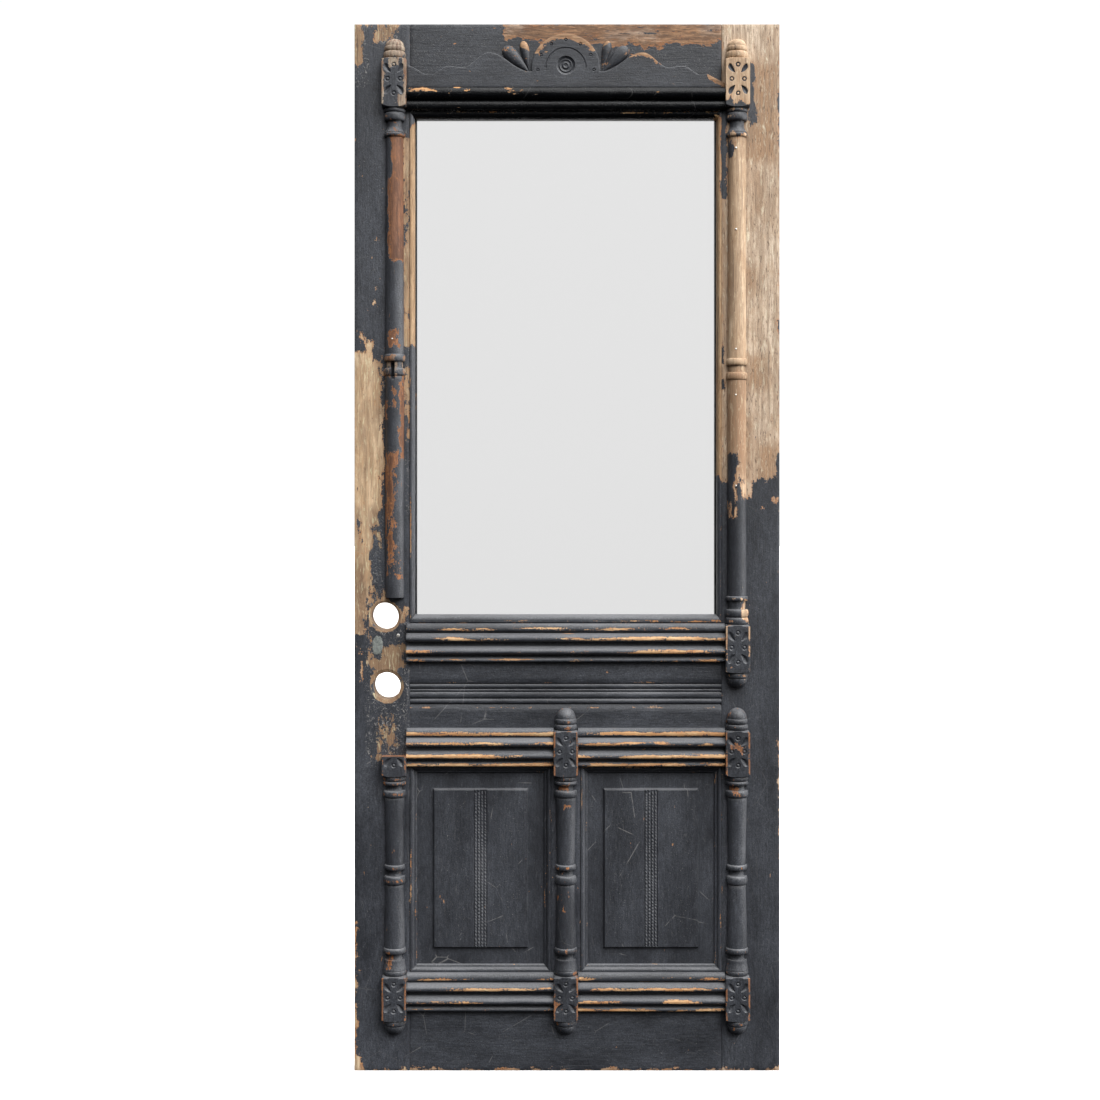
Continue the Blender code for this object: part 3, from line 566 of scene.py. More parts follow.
def grid_lines(half, border, fine, coarse, strip=0.0):
    """Places across a panel: close together at the bevel and the strip, wider apart elsewhere."""
    marks = {-half, half}
    place = 0.0
    while place < half:
        close = place < strip + fine or abs(place - (half - border)) < FIELD_BEVEL + 0.0012
        marks.update((place, -place))
        place += fine if close else coarse
    for mark in (half - border, half - border - FIELD_BEVEL):
        marks.update((mark, -mark))
    return sorted(marks)


def panel(side):
    low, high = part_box("panel_" + side)
    left, right, foot, top = low.x + OPENING, high.x - OPENING, low.z + OPENING, high.z - OPENING
    middle, level = (left + right) / 2, (foot + top) / 2
    half_x, half_z = (right - left) / 2 - 0.0003, (top - foot) / 2 - 0.0003
    xs = grid_lines(half_x, PANEL_BORDER, 0.0008, 0.006, STRIP_WIDTH / 2 + 0.001)
    zs = grid_lines(half_z, PANEL_BORDER, 0.0013, 0.0013)
    shape = bmesh.new()
    ops.create_grid(shape, x_segments=len(xs) - 1, y_segments=len(zs) - 1, size=1)
    shape.verts.ensure_lookup_table()
    for number, vert in enumerate(shape.verts):
        x, z = xs[number % len(xs)], zs[number // len(xs)]
        uneven = 0.00022 * noise(Vector((x, 0, z)) * 14 + low)
        vert.co = (middle + x, MARGIN - panel_height(x, z, half_x, half_z) + uneven, level + z)
    rim = [edge for edge in shape.edges if edge.is_boundary]
    back = ops.extrude_edge_only(shape, edges=rim)["geom"]
    verts = [item for item in back if isinstance(item, BMVert)]
    for vert in verts:
        vert.co.y = high.y
    ops.holes_fill(shape, edges=[item for item in back if isinstance(item, BMEdge)])
    size = Matrix.Diagonal((high.x - low.x, TONGUE_THICKNESS, high.z - low.z, 1))
    ops.create_cube(shape, size=1, matrix=Matrix.Translation((middle, FACE + TONGUE_DEPTH, level)) @ size)
    dust_and_sheen = shape.verts.layers.float.new("dust")
    layer = shape.verts.layers.float.new("bare")
    for vert in shape.verts:
        x, z = vert.co.x - middle, vert.co.z - level
        edge = 1000 * min(half_x - PANEL_BORDER - FIELD_BEVEL - abs(x),
                          half_z - PANEL_BORDER - FIELD_BEVEL - abs(z))
        vert[layer] = max(-25.0, -8.0 - 1.6 * abs(edge))
        # The strand crowns of the roped beads get the dust layer: a painted highlight on the lit crowns.
        if abs(x) < STRIP_WIDTH / 2 and edge > 1000 * FIELD_BEVEL:
            crown = 1 - 2 * abs((x * STRIP_BEADS / STRIP_WIDTH) % 1 - 0.5)
            vert[dust_and_sheen] = 1.1 - 1.3 * rope_twist(x, z) - 0.7 * (1 - crown)
    shown("panel_" + side + "_board", shape, PANEL_WOOD, "panel_" + side)


panel("left")
panel("right")


# Panel mouldings
# Mitred lengths of an ogee in the corner between the frame and each panel.

MOULD_WIDTH = 0.014
MOULD_PROUD = 0.0015
CLEAR = 0.0003
TRIM_WOOD = weathered("moulding_paint", (0.66, 0.46, 0.26), (0.48, 0.25, 0.10), (0.30, 0.16, 0.08),
                      grain="X", streak=0.14, chips=0.70, dust=0.67, depth_of_paint=0.84)
SIDE_TRIM_WOOD = weathered("upright_moulding_paint", (0.50, 0.35, 0.21), (0.34, 0.20, 0.10),
                           (0.30, 0.16, 0.08), streak=0.14, chips=0.70, depth_of_paint=0.88)


def arc(centre, radii, start, end, steps):
    """Points along part of an ellipse, the angles in degrees."""
    points = []
    for step in range(steps + 1):
        angle = radians(start + (end - start) * step / steps)
        points.append((centre[0] + radii[0] * cos(angle), centre[1] + radii[1] * sin(angle)))
    return points


def ogee(width):
    """The panel moulding's section, z in from the frame's edge."""
    crown = -(0.011 - CLEAR + MOULD_PROUD)
    points = [(0, -CLEAR, -25), (crown + 0.0008, -CLEAR, -8), (crown, -CLEAR - 0.0008, -6.5),
              (crown, -0.2 * width, -6.5)]
    swell = arc((0.4 * crown, -0.2 * width), (0.6 * crown, 0.42 * width), 0, -90, 8)[1:]
    points += [(y, z, -9) for y, z in swell]
    points += [(0.4 * crown, -0.80 * width, -6), (0.32 * crown, -0.92 * width, -5),
               (0.2 * crown, -width, -6), (0, -width, -25)]
    return points


def round_opening(name, section, corners, widths, depth, cuts, patches=(), kept=(), top_wood=TRIM_WOOD):
    """Four mitred lengths of a moulding round an opening, each standing for its node."""
    left, right, foot, top = corners
    across, up = (right - left) / 2, (top - foot) / 2
    rail_width, side_width = widths
    sides = {
        "top": (0, across, up, rail_width, side_width),
        "right": (90, up, across, side_width, rail_width),
        "bottom": (180, across, up, rail_width, side_width),
        "left": (270, up, across, side_width, rail_width),
    }
    for side, (angle, half, reach, width, next_width) in sides.items():
        shape = run_along(section(width), CLEAR - half, half - CLEAR, cuts, next_width / width)
        middle = Matrix.Translation(((left + right) / 2, depth, (foot + top) / 2))
        turn = middle @ Matrix.Rotation(radians(angle), 4, "Y") @ Matrix.Translation((0, 0, reach))
        ops.transform(shape, matrix=turn, verts=shape.verts)
        weather(shape, patches, kept)
        wood = {"top": top_wood, "bottom": TRIM_WOOD}.get(side, SIDE_TRIM_WOOD)
        shown(f"{name}_{side}_length", shape, wood, f"{name}_{side}")


for side in ("left", "right"):
    low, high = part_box("panel_" + side)
    corners = (low.x + OPENING, high.x - OPENING, low.z + OPENING, high.z - OPENING)
    round_opening("panel_mould_" + side, ogee, corners, (MOULD_WIDTH, MOULD_WIDTH), MARGIN - CLEAR, 60)


# Glass and what holds it
# A clear pane between a moulded bead in front and a plain stop behind, both in mitred lengths.

GLASS_FRONT = FACE + 0.020
GLASS_BACK = GLASS_FRONT + 0.005
BEAD_PROUD = 0.002
BEAD_WIDTHS = (0.0155, 0.0095)
STOP_WIDTHS = (0.012, 0.012)
BEAD_BARE = ((100, 128, 1440, 1880), (98, 110, 1230, 1400), (715, 745, 1180, 1900))
BEAD_KEPT = ((728, 740, 1740, 1905),)
# Near-black glossy paint for the head moulding and the top glazing bead: painted shade under the crest and
# the head moulding.
SHADED_GLOSSY_TRIM_WOOD = weathered("shaded_glossy_moulding_paint", (0.66, 0.46, 0.26), (0.48, 0.25, 0.10),
                             (0.30, 0.16, 0.08), grain="X", streak=0.14, dust=0.72, depth_of_paint=0.09,
                             dust_and_sheen_share=0.0, roughness=0.10)
SHADED_GLOSSY_TRIM_WOOD.node_tree.nodes["Principled BSDF"].inputs["Specular IOR Level"].default_value = 0.22


def bead_section(width):
    """The front bead, rounded towards the glass."""
    crown = -(0.020 - CLEAR + BEAD_PROUD)
    points = [(0, -CLEAR, -25), (crown + 0.0008, -CLEAR, -8), (crown, -CLEAR - 0.0008, -4),
              (crown, -0.30 * width, -4)]
    bend = arc((0.35 * crown, -0.30 * width), (0.65 * crown, 0.70 * width), 0, -90, 10)[1:]
    return points + [(y, z, -10) for y, z in bend] + [(0, -width, -25)]


def stop_section(width):
    depth = LEAF_BACK - GLASS_BACK - CLEAR
    return [(0, -CLEAR, -25), (depth, -CLEAR, -25), (depth, -0.7 * width, -5), (0.7 * depth, -width, -8),
            (0, -width, -25)]


pane_low, pane_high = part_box("glass_pane")
corners = (pane_low.x - CLEAR, pane_high.x + CLEAR, pane_low.z - CLEAR, pane_high.z + CLEAR)
round_opening("glazing_bead", bead_section, corners, BEAD_WIDTHS, GLASS_FRONT - CLEAR, 90, BEAD_BARE,
              BEAD_KEPT, SHADED_GLOSSY_TRIM_WOOD)
round_opening("glazing_stop", stop_section, corners, STOP_WIDTHS, GLASS_BACK + CLEAR, 24)

glass = new_material("window_pane", {"Base Color": (0.80, 0.80, 0.80, 1), "Roughness": 0.0, "IOR": 1.5,
                                     "Transmission Weight": 1.0})[0]
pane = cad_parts["glass_pane"]
for holder in pane.material_slots:
    holder.material = glass


# Planted mouldings
# Large reeds with quirks between them, nailed on under the crest, the glass, the frieze and the panels.

QUIRK_FLOOR = 0.004
PLAIN_DROOP = 0.6
PLAIN_REEDS = ((0.0170, 0.0120, 0.0010), (0.0185, 0.0205, 0.0070), (0.0180, 0.0205, 0.0045),
               (0.0105, 0.0120, 0.0))
HEAD_REEDS = ((0.0250, 0.0200, 0.0012), (0.0195, 0.0140, 0.0))
HEAD_BARE = ((110, 168, 1942, 1948), (188, 209, 1943, 1948), (216, 226, 1943, 1948), (306, 333, 1942, 1948))


def planted(node, reeds, wear, droop, wood, patches=()):
    low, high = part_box(node)
    back = high.y
    points = [(back, high.z, -25)]
    z = high.z
    for height, out, quirk in reeds:
        section = reed(z, height, QUIRK_FLOOR, out, 18, 0.6, wear, droop)
        points += [(back - step, drop, depth) for step, drop, depth in section]
        z -= height + quirk
    points.append((back, low.z, -25))
    length = high.x - low.x
    shape = run_along(points, low.x, high.x, int(length / 0.006))
    weather(shape, patches)
    layer = shape.verts.layers.float["bare"]
    for vert in shape.verts:
        if vert.co.y < back - 0.002:
            vert.co.y += 0.0006 * max(noise(vert.co * 34) + 0.1, 0)
            vert[layer] += 4.5 * noise(Vector((vert.co.x * 9, 4.0, vert.co.z * 60)))
    shown(node + "_length", shape, wood, node)


planted("head_moulding", HEAD_REEDS, -9.0, 1.0, SHADED_GLOSSY_TRIM_WOOD, HEAD_BARE)
for node, wear in (("sill_moulding", -1.6), ("belt_moulding_left", 2.3), ("belt_moulding_right", 1.4),
                   ("base_moulding_left", -2.4), ("base_moulding_right", -0.6)):
    planted(node, PLAIN_REEDS, wear, PLAIN_DROOP, TRIM_WOOD)


# Split turnings
# Columns beside the glass and balusters beside the panels, each half of a turned and carved square blank.

BLANK_HALF = 0.024
SHOULDER = 0.003
TURN_STEPS = 96
QUIRK = -30.0
SAWN_OFF = 0.004
TURNED_WOOD = weathered("turning_paint", (0.58, 0.43, 0.29), (0.42, 0.275, 0.165), (0.28, 0.155, 0.082),
                        chips=0.70, remains=0.72, marks=0.66, depth_of_paint=0.76)
BROWN_TURNED_WOOD = weathered("brown_turning_paint", (0.24, 0.105, 0.050), (0.12, 0.050, 0.025),
                              (0.40, 0.34, 0.26), chips=0.69, remains=0.66, depth_of_paint=0.76)


def dome(z, length, share):
    return [(r, h, -5) for r, h in arc((0, z - length), (share * BLANK_HALF, length), 84, 0, 12)]


def foot_dome(z, length, share):
    return [(r, h, -7) for r, h in arc((0, z), (share * BLANK_HALF, length), 0, -84, 12)]


def ring(z, length, share):
    """A turned ring. The quirks at its ends keep their paint, which also stands for painted shade in the
    gaps.
    """
    points = reed(z, length, 0.78 * share * BLANK_HALF, share * BLANK_HALF, 12, 0.6, -4.2)
    return [(*points[0][:2], QUIRK)] + points[1:-1] + [(*points[-1][:2], QUIRK)]


def taper(z, length, share, foot_share):
    rows = max(int(length / 0.007), 2)
    return [((share + (foot_share - share) * row / rows) * BLANK_HALF, z - length * row / rows, -14)
            for row in range(rows + 1)]


def bell(z, length, share, foot_share):
    """A hollow flare from the first radius to the second."""
    radius, spread = share * BLANK_HALF, (foot_share - share) * BLANK_HALF
    return [(radius + spread * (1 - cos(pi / 2 * step / 9)), z - length * step / 9, -8)
            for step in range(10)]


def square_block(z, length, tongue):
    """The square stretch, turned down at its ends so that the square ends in tongues."""
    full, neck, foot = 1.5 * BLANK_HALF, 0.93 * BLANK_HALF, z - length + tongue
    points = [(0.9 * BLANK_HALF, z, -8), (1.05 * BLANK_HALF, z - 0.3 * SHOULDER, -6)]
    rows = int((z - SHOULDER - foot) / 0.0008)
    points += [(full, z - SHOULDER + (foot - z + SHOULDER) * row / rows, -12) for row in range(rows + 1)]
    return points + [(r, h, -8) for r, h in arc((neck, foot), (full - neck, tongue), -6, -90, 12)]


COLUMN_HEAD = (
    (dome, 0.0145, 0.78), (ring, 0.0115, 0.86), (ring, 0.0145, 0.94), (square_block, 0.098, 0.011),
    (ring, 0.009, 0.90), (ring, 0.0165, 0.89), (taper, 0.0095, 0.60, 0.60), (bell, 0.0135, 0.60, 0.84),
    (ring, 0.009, 0.89),
)
COLUMN_WAIST = ((ring, 0.0150, 0.89), (taper, 0.0130, 0.67, 0.67), (ring, 0.0158, 0.89))
COLUMN_FOOT = (
    (ring, 0.010, 0.93), (taper, 0.016, 0.71, 0.69), (ring, 0.0160, 0.97), (ring, 0.0145, 0.97),
    (square_block, 0.0945, 0.005), (ring, 0.013, 0.90), (foot_dome, 0.0195, 0.86),
)
BALUSTER_HEAD = (
    (dome, 0.021, 0.82), (ring, 0.0115, 0.90), (ring, 0.0115, 0.93), (square_block, 0.091, 0.009),
    (ring, 0.010, 0.93), (ring, 0.0083, 0.95), (taper, 0.0099, 0.62, 0.62), (ring, 0.0145, 0.96),
)
BALUSTER_WAIST = ((ring, 0.0113, 0.87), (taper, 0.0110, 0.57, 0.57), (ring, 0.0175, 0.90))
BALUSTER_FOOT = (
    (ring, 0.0123, 0.95), (taper, 0.0115, 0.60, 0.60), (bell, 0.0199, 0.82, 0.96), (ring, 0.0113, 0.96),
    (square_block, 0.088, 0.006), (ring, 0.0123, 0.93), (foot_dome, 0.0185, 0.83),
)


def length_of(members):
    return sum(member[1] for member in members)


def before_block(members):
    """The length of the members above the square block."""
    names = [member[0] for member in members]
    return length_of(members[:names.index(square_block)])


def block_place(start, members):
    """A block's centre and half height, without its tongue."""
    length, tongue = next(member[1:] for member in members if member[0] is square_block)
    half = (length - tongue) / 2
    return start - before_block(members) - half, half


def assembled(top, head, shafts, waist, foot, foot_block_top, waist_rise):
    """A turning's whole list of members, with the shafts filling what the others leave."""
    foot_start = foot_block_top + before_block(foot)
    head_end = top - length_of(head)
    level = (head_end + foot_start) / 2 + waist_rise
    upper = head_end - level - length_of(waist) / 2
    lower = level - length_of(waist) / 2 - foot_start
    members = head + ((taper, upper, *shafts[0]),) + waist + ((taper, lower, *shafts[1]),) + foot
    return members, (block_place(top, head), block_place(foot_start, foot))


GOUGE_PLACE = (0.0117, 0.0214)
GOUGE_HALF_LENGTH = 0.0105
GOUGE_HALF_WIDTH = 0.0054
GOUGE_DEPTH = 0.0034
PIT_PLACES = ((0.0, 0.0284), (0.0125, 0.0))
PIT_RADIUS = 0.0035
PIT_DEPTH = 0.0016
CARVED_HALF = 0.0435


def gouge_depth(across, up, half):
    """How deep the block's carving is at a place from its centre: four leaf gouges and four ringed pits."""
    across, up = abs(across), abs(up) * CARVED_HALF / half
    lean = radians(34)
    x, z = across - GOUGE_PLACE[0], up - GOUGE_PLACE[1]
    along, beside = x * sin(lean) + z * cos(lean), x * cos(lean) - z * sin(lean)
    share = along / GOUGE_HALF_LENGTH
    depth = 0.0
    if abs(share) < 1:
        width = GOUGE_HALF_WIDTH * (1 - share * share) ** 0.6 * (1 + 0.40 * share)
        beside -= 0.0016 * (1 - share * share)
        if abs(beside) < width:
            depth = GOUGE_DEPTH * (1 - abs(beside) / width) * (1 - share * share) ** 0.4
    for x, z in PIT_PLACES:
        reach = hypot(across - x, up - z)
        depth = max(depth, PIT_DEPTH * exp(-((reach - PIT_RADIUS) / 0.0011) ** 2))
    return depth


def turned(node, x, top, members, blocks, wood, patches, kept, stains=(), mottled=(), low=-9.0, high=9.0):
    """Half of a turning on the face: a spun outline held inside the square blank, then carved."""
    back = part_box(node)[1].y
    outline = [(0.0, top, -5)]
    z = top
    for make, length, *shares in members:
        outline += make(z, length, *shares)
        z -= length
    outline.append((0.0, z, -5))
    cut = [point for point in outline if low + SAWN_OFF < point[1] < high]
    if high < top:
        radius = cut[0][0]
        cut = [(radius * share / 4, high, 6) for share in range(5)] + cut
    if low > z:
        radius = cut[-1][0]
        # The sawn foot takes dark paint instead of bare wood: painted shade under the column's cut end.
        cut += [(radius, low + 0.0012, -9)] + [(radius * share / 4, low, -9) for share in range(4, -1, -1)]
    shape = bmesh.new()
    layer = shape.verts.layers.float.new("bare")
    rim = []
    for radius, level, depth in cut:
        vert = shape.verts.new((radius, 0, level))
        vert[layer] = depth
        rim.append(vert)
    edges = [shape.edges.new(pair) for pair in zip(rim, rim[1:])]
    ops.spin(shape, geom=edges, cent=(0, 0, 0), axis=(0, 0, -1), angle=pi, steps=TURN_STEPS,
             use_merge=False, use_duplicate=False)
    ops.remove_doubles(shape, verts=shape.verts, dist=0.00002)
    for vert in shape.verts:
        square_in(vert, layer, blocks)
    ops.translate(shape, verts=shape.verts, vec=(x, back, 0))
    ops.holes_fill(shape, edges=[edge for edge in shape.edges if edge.is_boundary])
    shape.verts.index_update()
    quirks = {vert.index for vert in shape.verts if vert[layer] == QUIRK}
    weather(shape, patches, kept, stains=stains, mottled=mottled)
    layer = shape.verts.layers.float["bare"]
    for vert in shape.verts:
        # Dark paint in the quirks between rings: paint left in the gaps, and painted shade there as well.
        if vert.index in quirks:
            vert[layer] = min(vert[layer], -20.0)
        cuts = [gouge_depth(vert.co.x - x, vert.co.z - centre, half) for centre, half in blocks
                if abs(vert.co.z - centre) < half and vert.co.y < back - BLANK_HALF + 0.0006]
        depth = max(cuts, default=0)
        vert.co.y += depth
        if depth > 0.0001:
            vert[layer] = min(vert[layer], 14 - 32 * depth / PIT_DEPTH)
        if node == "column_left":
            split = min(SPLIT_HALF_WIDTH - abs(vert.co.x - SPLIT_X),
                        SPLIT_HALF_HEIGHT - abs(vert.co.z - SPLIT_Z))
            if split > 0 and vert.co.y < back - 0.002:
                vert.co.y = min(vert.co.y + 8 * split, back - 0.002)
                vert[layer] = -10.0
    shown(node + "_turning", shape, wood, node, slot="turned_wood", crease=42.0)


def square_in(vert, layer, blocks):
    """Holds a point of the turning inside the square, with its corners a little worn."""
    radius = hypot(vert.co.x, vert.co.y)
    if radius < 0.0001:
        return
    widest = max(abs(vert.co.x), abs(vert.co.y)) / radius
    limit = BLANK_HALF / widest
    if radius > limit:
        bend = min(limit, BLANK_HALF * (1.395 + 0.012 * noise(vert.co * 60)))
        if widest < 0.765:
            vert[layer] = max(vert[layer], 1.6)
        vert.co.x *= bend / radius
        vert.co.y *= bend / radius


MIDDLE = sum(corner.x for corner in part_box("baluster_middle")) / 2
SIDE_PLACES = {side: sum(corner.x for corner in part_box("column_" + side)) / 2 for side in ("left", "right")}
SILL_BLOCK_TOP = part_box("sill_moulding")[1].z - 0.0019
BELT_BLOCK_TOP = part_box("belt_moulding_left")[1].z - 0.0040
BASE_BLOCK_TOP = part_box("base_moulding_left")[1].z - 0.0046
COLUMN_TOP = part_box("column_right")[1].z
LEFT_COLUMN_BARE = (
    (55, 105, 2010, 2052), (54, 60, 1925, 2005), (98, 106, 1913, 2010), (70, 92, 1992, 2010),
    (90, 106, 1911, 1936), (76, 112, 1760, 1858), (69, 112, 1612, 1772), (72, 87, 1438, 1469),
    (91, 105, 1212, 1378), (64, 80, 1130, 1222), (62, 69, 1313, 1334), (62, 68, 1288, 1304),
    (77, 83, 1314, 1331), (79, 85, 1341, 1353), (68, 80, 1042, 1075), (76, 84, 1866, 1872),
    (74, 86, 1880, 1884), (76, 82, 1010, 1030),
)
LEFT_COLUMN_MOTTLED = ((55, 106, 1379, 1418), (60, 88, 1075, 1228), (66, 92, 985, 1050))
SPLIT_X = -0.7646
SPLIT_Z = 0.3525
SPLIT_HALF_WIDTH = 0.0040
SPLIT_HALF_HEIGHT = 0.0150
RIGHT_COLUMN_BARE = (
    (730, 790, 1921, 2062), (730, 790, 1226, 1857), (757, 790, 1180, 1240), (772, 790, 1138, 1190),
    (752, 758, 1100, 1180), (766, 781, 898, 932), (742, 752, 1098, 1132),
)
LEFT_STAINS = ((50, 110, 1900, 2055), (50, 110, 1376, 1420))
RIGHT_STAINS = ((730, 790, 1180, 1400), (735, 752, 1500, 1860))
RIGHT_COLUMN_KEPT = (
    (734, 748, 1818, 1846), (733, 752, 1910, 1926), (781, 790, 1560, 1600), (783, 790, 1440, 1500),
)

for side, rise, cut_at, wood, patches, kept, stains, mottled in (
        ("left", 0.003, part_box("column_left")[0].z, BROWN_TURNED_WOOD, LEFT_COLUMN_BARE, (), LEFT_STAINS,
         LEFT_COLUMN_MOTTLED),
        ("right", -0.005, -9.0, TURNED_WOOD, RIGHT_COLUMN_BARE, RIGHT_COLUMN_KEPT, RIGHT_STAINS, ())):
    members, blocks = assembled(COLUMN_TOP, COLUMN_HEAD, ((0.715, 0.775), (0.775, 0.775)), COLUMN_WAIST,
                                COLUMN_FOOT, SILL_BLOCK_TOP, rise)
    turned("column_" + side, SIDE_PLACES[side], COLUMN_TOP, members, blocks, wood, patches, kept, stains,
           mottled, cut_at)

BALUSTER_TOP = BELT_BLOCK_TOP + before_block(BALUSTER_HEAD)
BALUSTER_PLACES = {"left": SIDE_PLACES["left"], "middle": MIDDLE, "right": SIDE_PLACES["right"]}
BALUSTER_BARE = (
    (742, 760, 556, 566), (408, 424, 556, 566), (412, 432, 520, 528), (400, 408, 344, 352),
    (416, 424, 318, 326), (68, 74, 206, 238), (396, 402, 132, 142), (404, 409, 132, 140),
    (745, 768, 640, 650),
)
for side, x in BALUSTER_PLACES.items():
    members, blocks = assembled(BALUSTER_TOP, BALUSTER_HEAD, ((0.83, 0.715), (0.74, 0.85)), BALUSTER_WAIST,
                                BALUSTER_FOOT, BASE_BLOCK_TOP, -0.004)
    broken_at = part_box("baluster_left")[1].z if side == "left" else 9.0
    turned("baluster_" + side, x, BALUSTER_TOP, members, blocks, BROWN_TURNED_WOOD, BALUSTER_BARE, (),
           high=broken_at)


# Crest board
# A thin board sawn to a wave, with an arch in the middle, two carved leaves on each side and a sunk eye.
# Its right end has broken off.

CREST_WOOD = weathered("crest_paint", (0.44, 0.28, 0.155), (0.28, 0.155, 0.08), (0.30, 0.16, 0.08),
                       grain="X", chips=0.69, depth_of_paint=0.68, dust_and_sheen_share=0.45)
ARCH_RADIUS = 0.068
ARCH_CENTRE = 0.0388
FAN_ROOT = 0.0716
EYE_RADIUS = 0.019
BREAK = 0.034
BREAK_HEIGHT = 0.0095
CREST_THICKNESS = 0.005
LEAF_SIZES = ((0.064, 0.0134, 0.216), (0.072, 0.020, 0.80))
EYE_RISE = 0.0052
EYE_SECTION = (
    (1, -0.0004), (0.97, 0.0014), (0.80, 0.0036), (0.74, 0.0040), (0.69, 0.0024), (0.64, 0.0021),
    (0.56, 0.0030), (0.46, 0.0038), (0.40, 0.0036), (0.33, 0.0022), (0.26, 0.0016), (0.17, 0.0024),
    (0.11, 0.0030), (0, 0.0028),
)
PIT_SECTION = (
    (0, -0.01), (0.0046, -0.01), (0.0040, 0.0), (0.0030, 0.0016), (0.0022, 0.0016),
    (0.0014, 0.0006), (0, 0.0004),
)
PIT_REACH = ARCH_RADIUS - 0.0123
PIT_SPREAD = 31.3
GROOVE_RADIUS = 0.040
GROOVE_SECTION = ((0.0019, -0.0006), (0.0006, 0.0017), (-0.0006, 0.0017), (-0.0019, -0.0006))
SLICE = 0.004
WAVE_STEPS = 110
WAVE = ((0.0, 0.0318), (0.333, 0.0696), (0.546, 0.0398), (0.660, 0.0425), (0.814, 0.0249), (1.0, 0.0435))


def wave_height(share):
    """How high the board's edge stands along the run outside the leaves."""
    for (start, foot), (end, top) in zip(WAVE, WAVE[1:]):
        if share <= end:
            return foot + (top - foot) * (1 - cos(pi * (share - start) / (end - start))) / 2
    return WAVE[-1][1]


def crest_edge(half):
    """The board's edge as (x, z) from its middle foot: left end, wave, arch, wave, broken right end."""
    run = half - FAN_ROOT
    shares = [step / WAVE_STEPS for step in range(WAVE_STEPS + 1)]
    whole = [(FAN_ROOT + run * share, wave_height(share)) for share in shares]
    arch = arc((0, ARCH_CENTRE), (ARCH_RADIUS, ARCH_RADIUS), 186, -6, 84)
    broken_at = half - BREAK
    right = [point for point in whole if point[0] < broken_at]
    start = wave_height((broken_at - FAN_ROOT) / run)
    for step in range(1, 12):
        share = step / 12
        jag = 0.0012 * noise(Vector((share * 9, 2.0, 0)))
        right.append((broken_at + BREAK * share, start + (BREAK_HEIGHT - start) * share + jag - 0.0012))
    left = [(-distance, height) for distance, height in reversed(whole)]
    return [(-half, 0)] + left + arch + right + [(half, BREAK_HEIGHT), (half, 0)]


def sliced(shape, place, normal, **options):
    parts = shape.verts[:] + shape.edges[:] + shape.faces[:]
    ops.bisect_plane(shape, geom=parts, plane_co=place, plane_no=normal, **options)


def leaf(length, width, height, x, z, lean):
    """A convex carved leaf, from its thin root to its round tip."""
    shape = bmesh.new()
    ops.create_uvsphere(shape, u_segments=40, v_segments=48, radius=1)
    for vert in shape.verts:
        swell = 0.55 + 0.45 * vert.co.z
        vert.co.x *= swell
        vert.co.y *= swell
    place = (Matrix.Translation((x, 0, z)) @ Matrix.Rotation(lean, 4, "Y")
             @ Matrix.Diagonal((width, height, length / 2, 1)) @ Matrix.Translation((0, 0, 1)))
    ops.transform(shape, matrix=place, verts=shape.verts)
    sliced(shape, (0, -0.0004, 0), (0, 1, 0), clear_outer=True, dist=0.000001)
    ops.holes_fill(shape, edges=[edge for edge in shape.edges if edge.is_boundary])
    return shape


def crest():
    low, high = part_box("crest_board")
    middle, half = (low.x + high.x) / 2, (high.x - low.x) / 2
    shape = bmesh.new()
    outline = [shape.verts.new((x, 0, z)) for x, z in crest_edge(half)]
    rear = shape.faces.new(outline)
    front = ops.extrude_face_region(shape, geom=[rear])["geom"]
    verts = [item for item in front if isinstance(item, BMVert)]
    ops.translate(shape, verts=verts, vec=(0, -CREST_THICKNESS, 0))
    rim = [edge for edge in shape.edges
           if all(abs(vert.co.y + CREST_THICKNESS) < 0.0001 for vert in edge.verts)]
    ops.bevel(shape, geom=rim, offset=ARRIS, segments=2, profile=0.5, affect="EDGES", material=-1)
    leaves = [leaf(length, width, 0.011, side * FAN_ROOT, 0.0305, side * lean)
              for side in (-1, 1) for length, width, lean in LEAF_SIZES]
    shape = carved(shape, leaves, "UNION")
    eye = [(0, -0.01), (1.06 * EYE_RADIUS, -0.01)]
    eye += [(share * EYE_RADIUS, drop) for share, drop in EYE_SECTION]
    cutters = [turned_cutter(eye, 0, -CREST_THICKNESS, ARCH_CENTRE + EYE_RISE, 64)]
    for number in range(-3, 4):
        angle = radians(90 + number * PIT_SPREAD)
        x, z = PIT_REACH * cos(angle), ARCH_CENTRE + PIT_REACH * sin(angle)
        cutters.append(turned_cutter(PIT_SECTION, x, -CREST_THICKNESS, z, 20))
    groove = bmesh.new()
    section = [groove.verts.new((GROOVE_RADIUS + out, drop - CREST_THICKNESS, 0))
               for out, drop in GROOVE_SECTION]
    ops.spin(groove, geom=[groove.faces.new(section)], cent=(0, 0, 0), axis=(0, -1, 0), angle=pi,
             steps=72, use_merge=False, use_duplicate=False)
    ops.translate(groove, verts=groove.verts, vec=(0, 0, ARCH_CENTRE))
    cutters.append(groove)
    shape = carved(shape, cutters)
    for step in range(-78, 79):
        sliced(shape, (step * SLICE, 0, 0), (1, 0, 0), dist=0.00001)
    for step in range(1, 27):
        sliced(shape, (0, 0, step * SLICE), (0, 0, 1), dist=0.00001)
    layer = shape.verts.layers.float.new("bare")
    for vert in shape.verts:
        vert[layer] = crest_wear(*vert.co, half)
    ops.translate(shape, verts=shape.verts, vec=(middle, high.y, low.z))
    shown("crest_carving", shape, CREST_WOOD, "crest_board", crease=32.0)


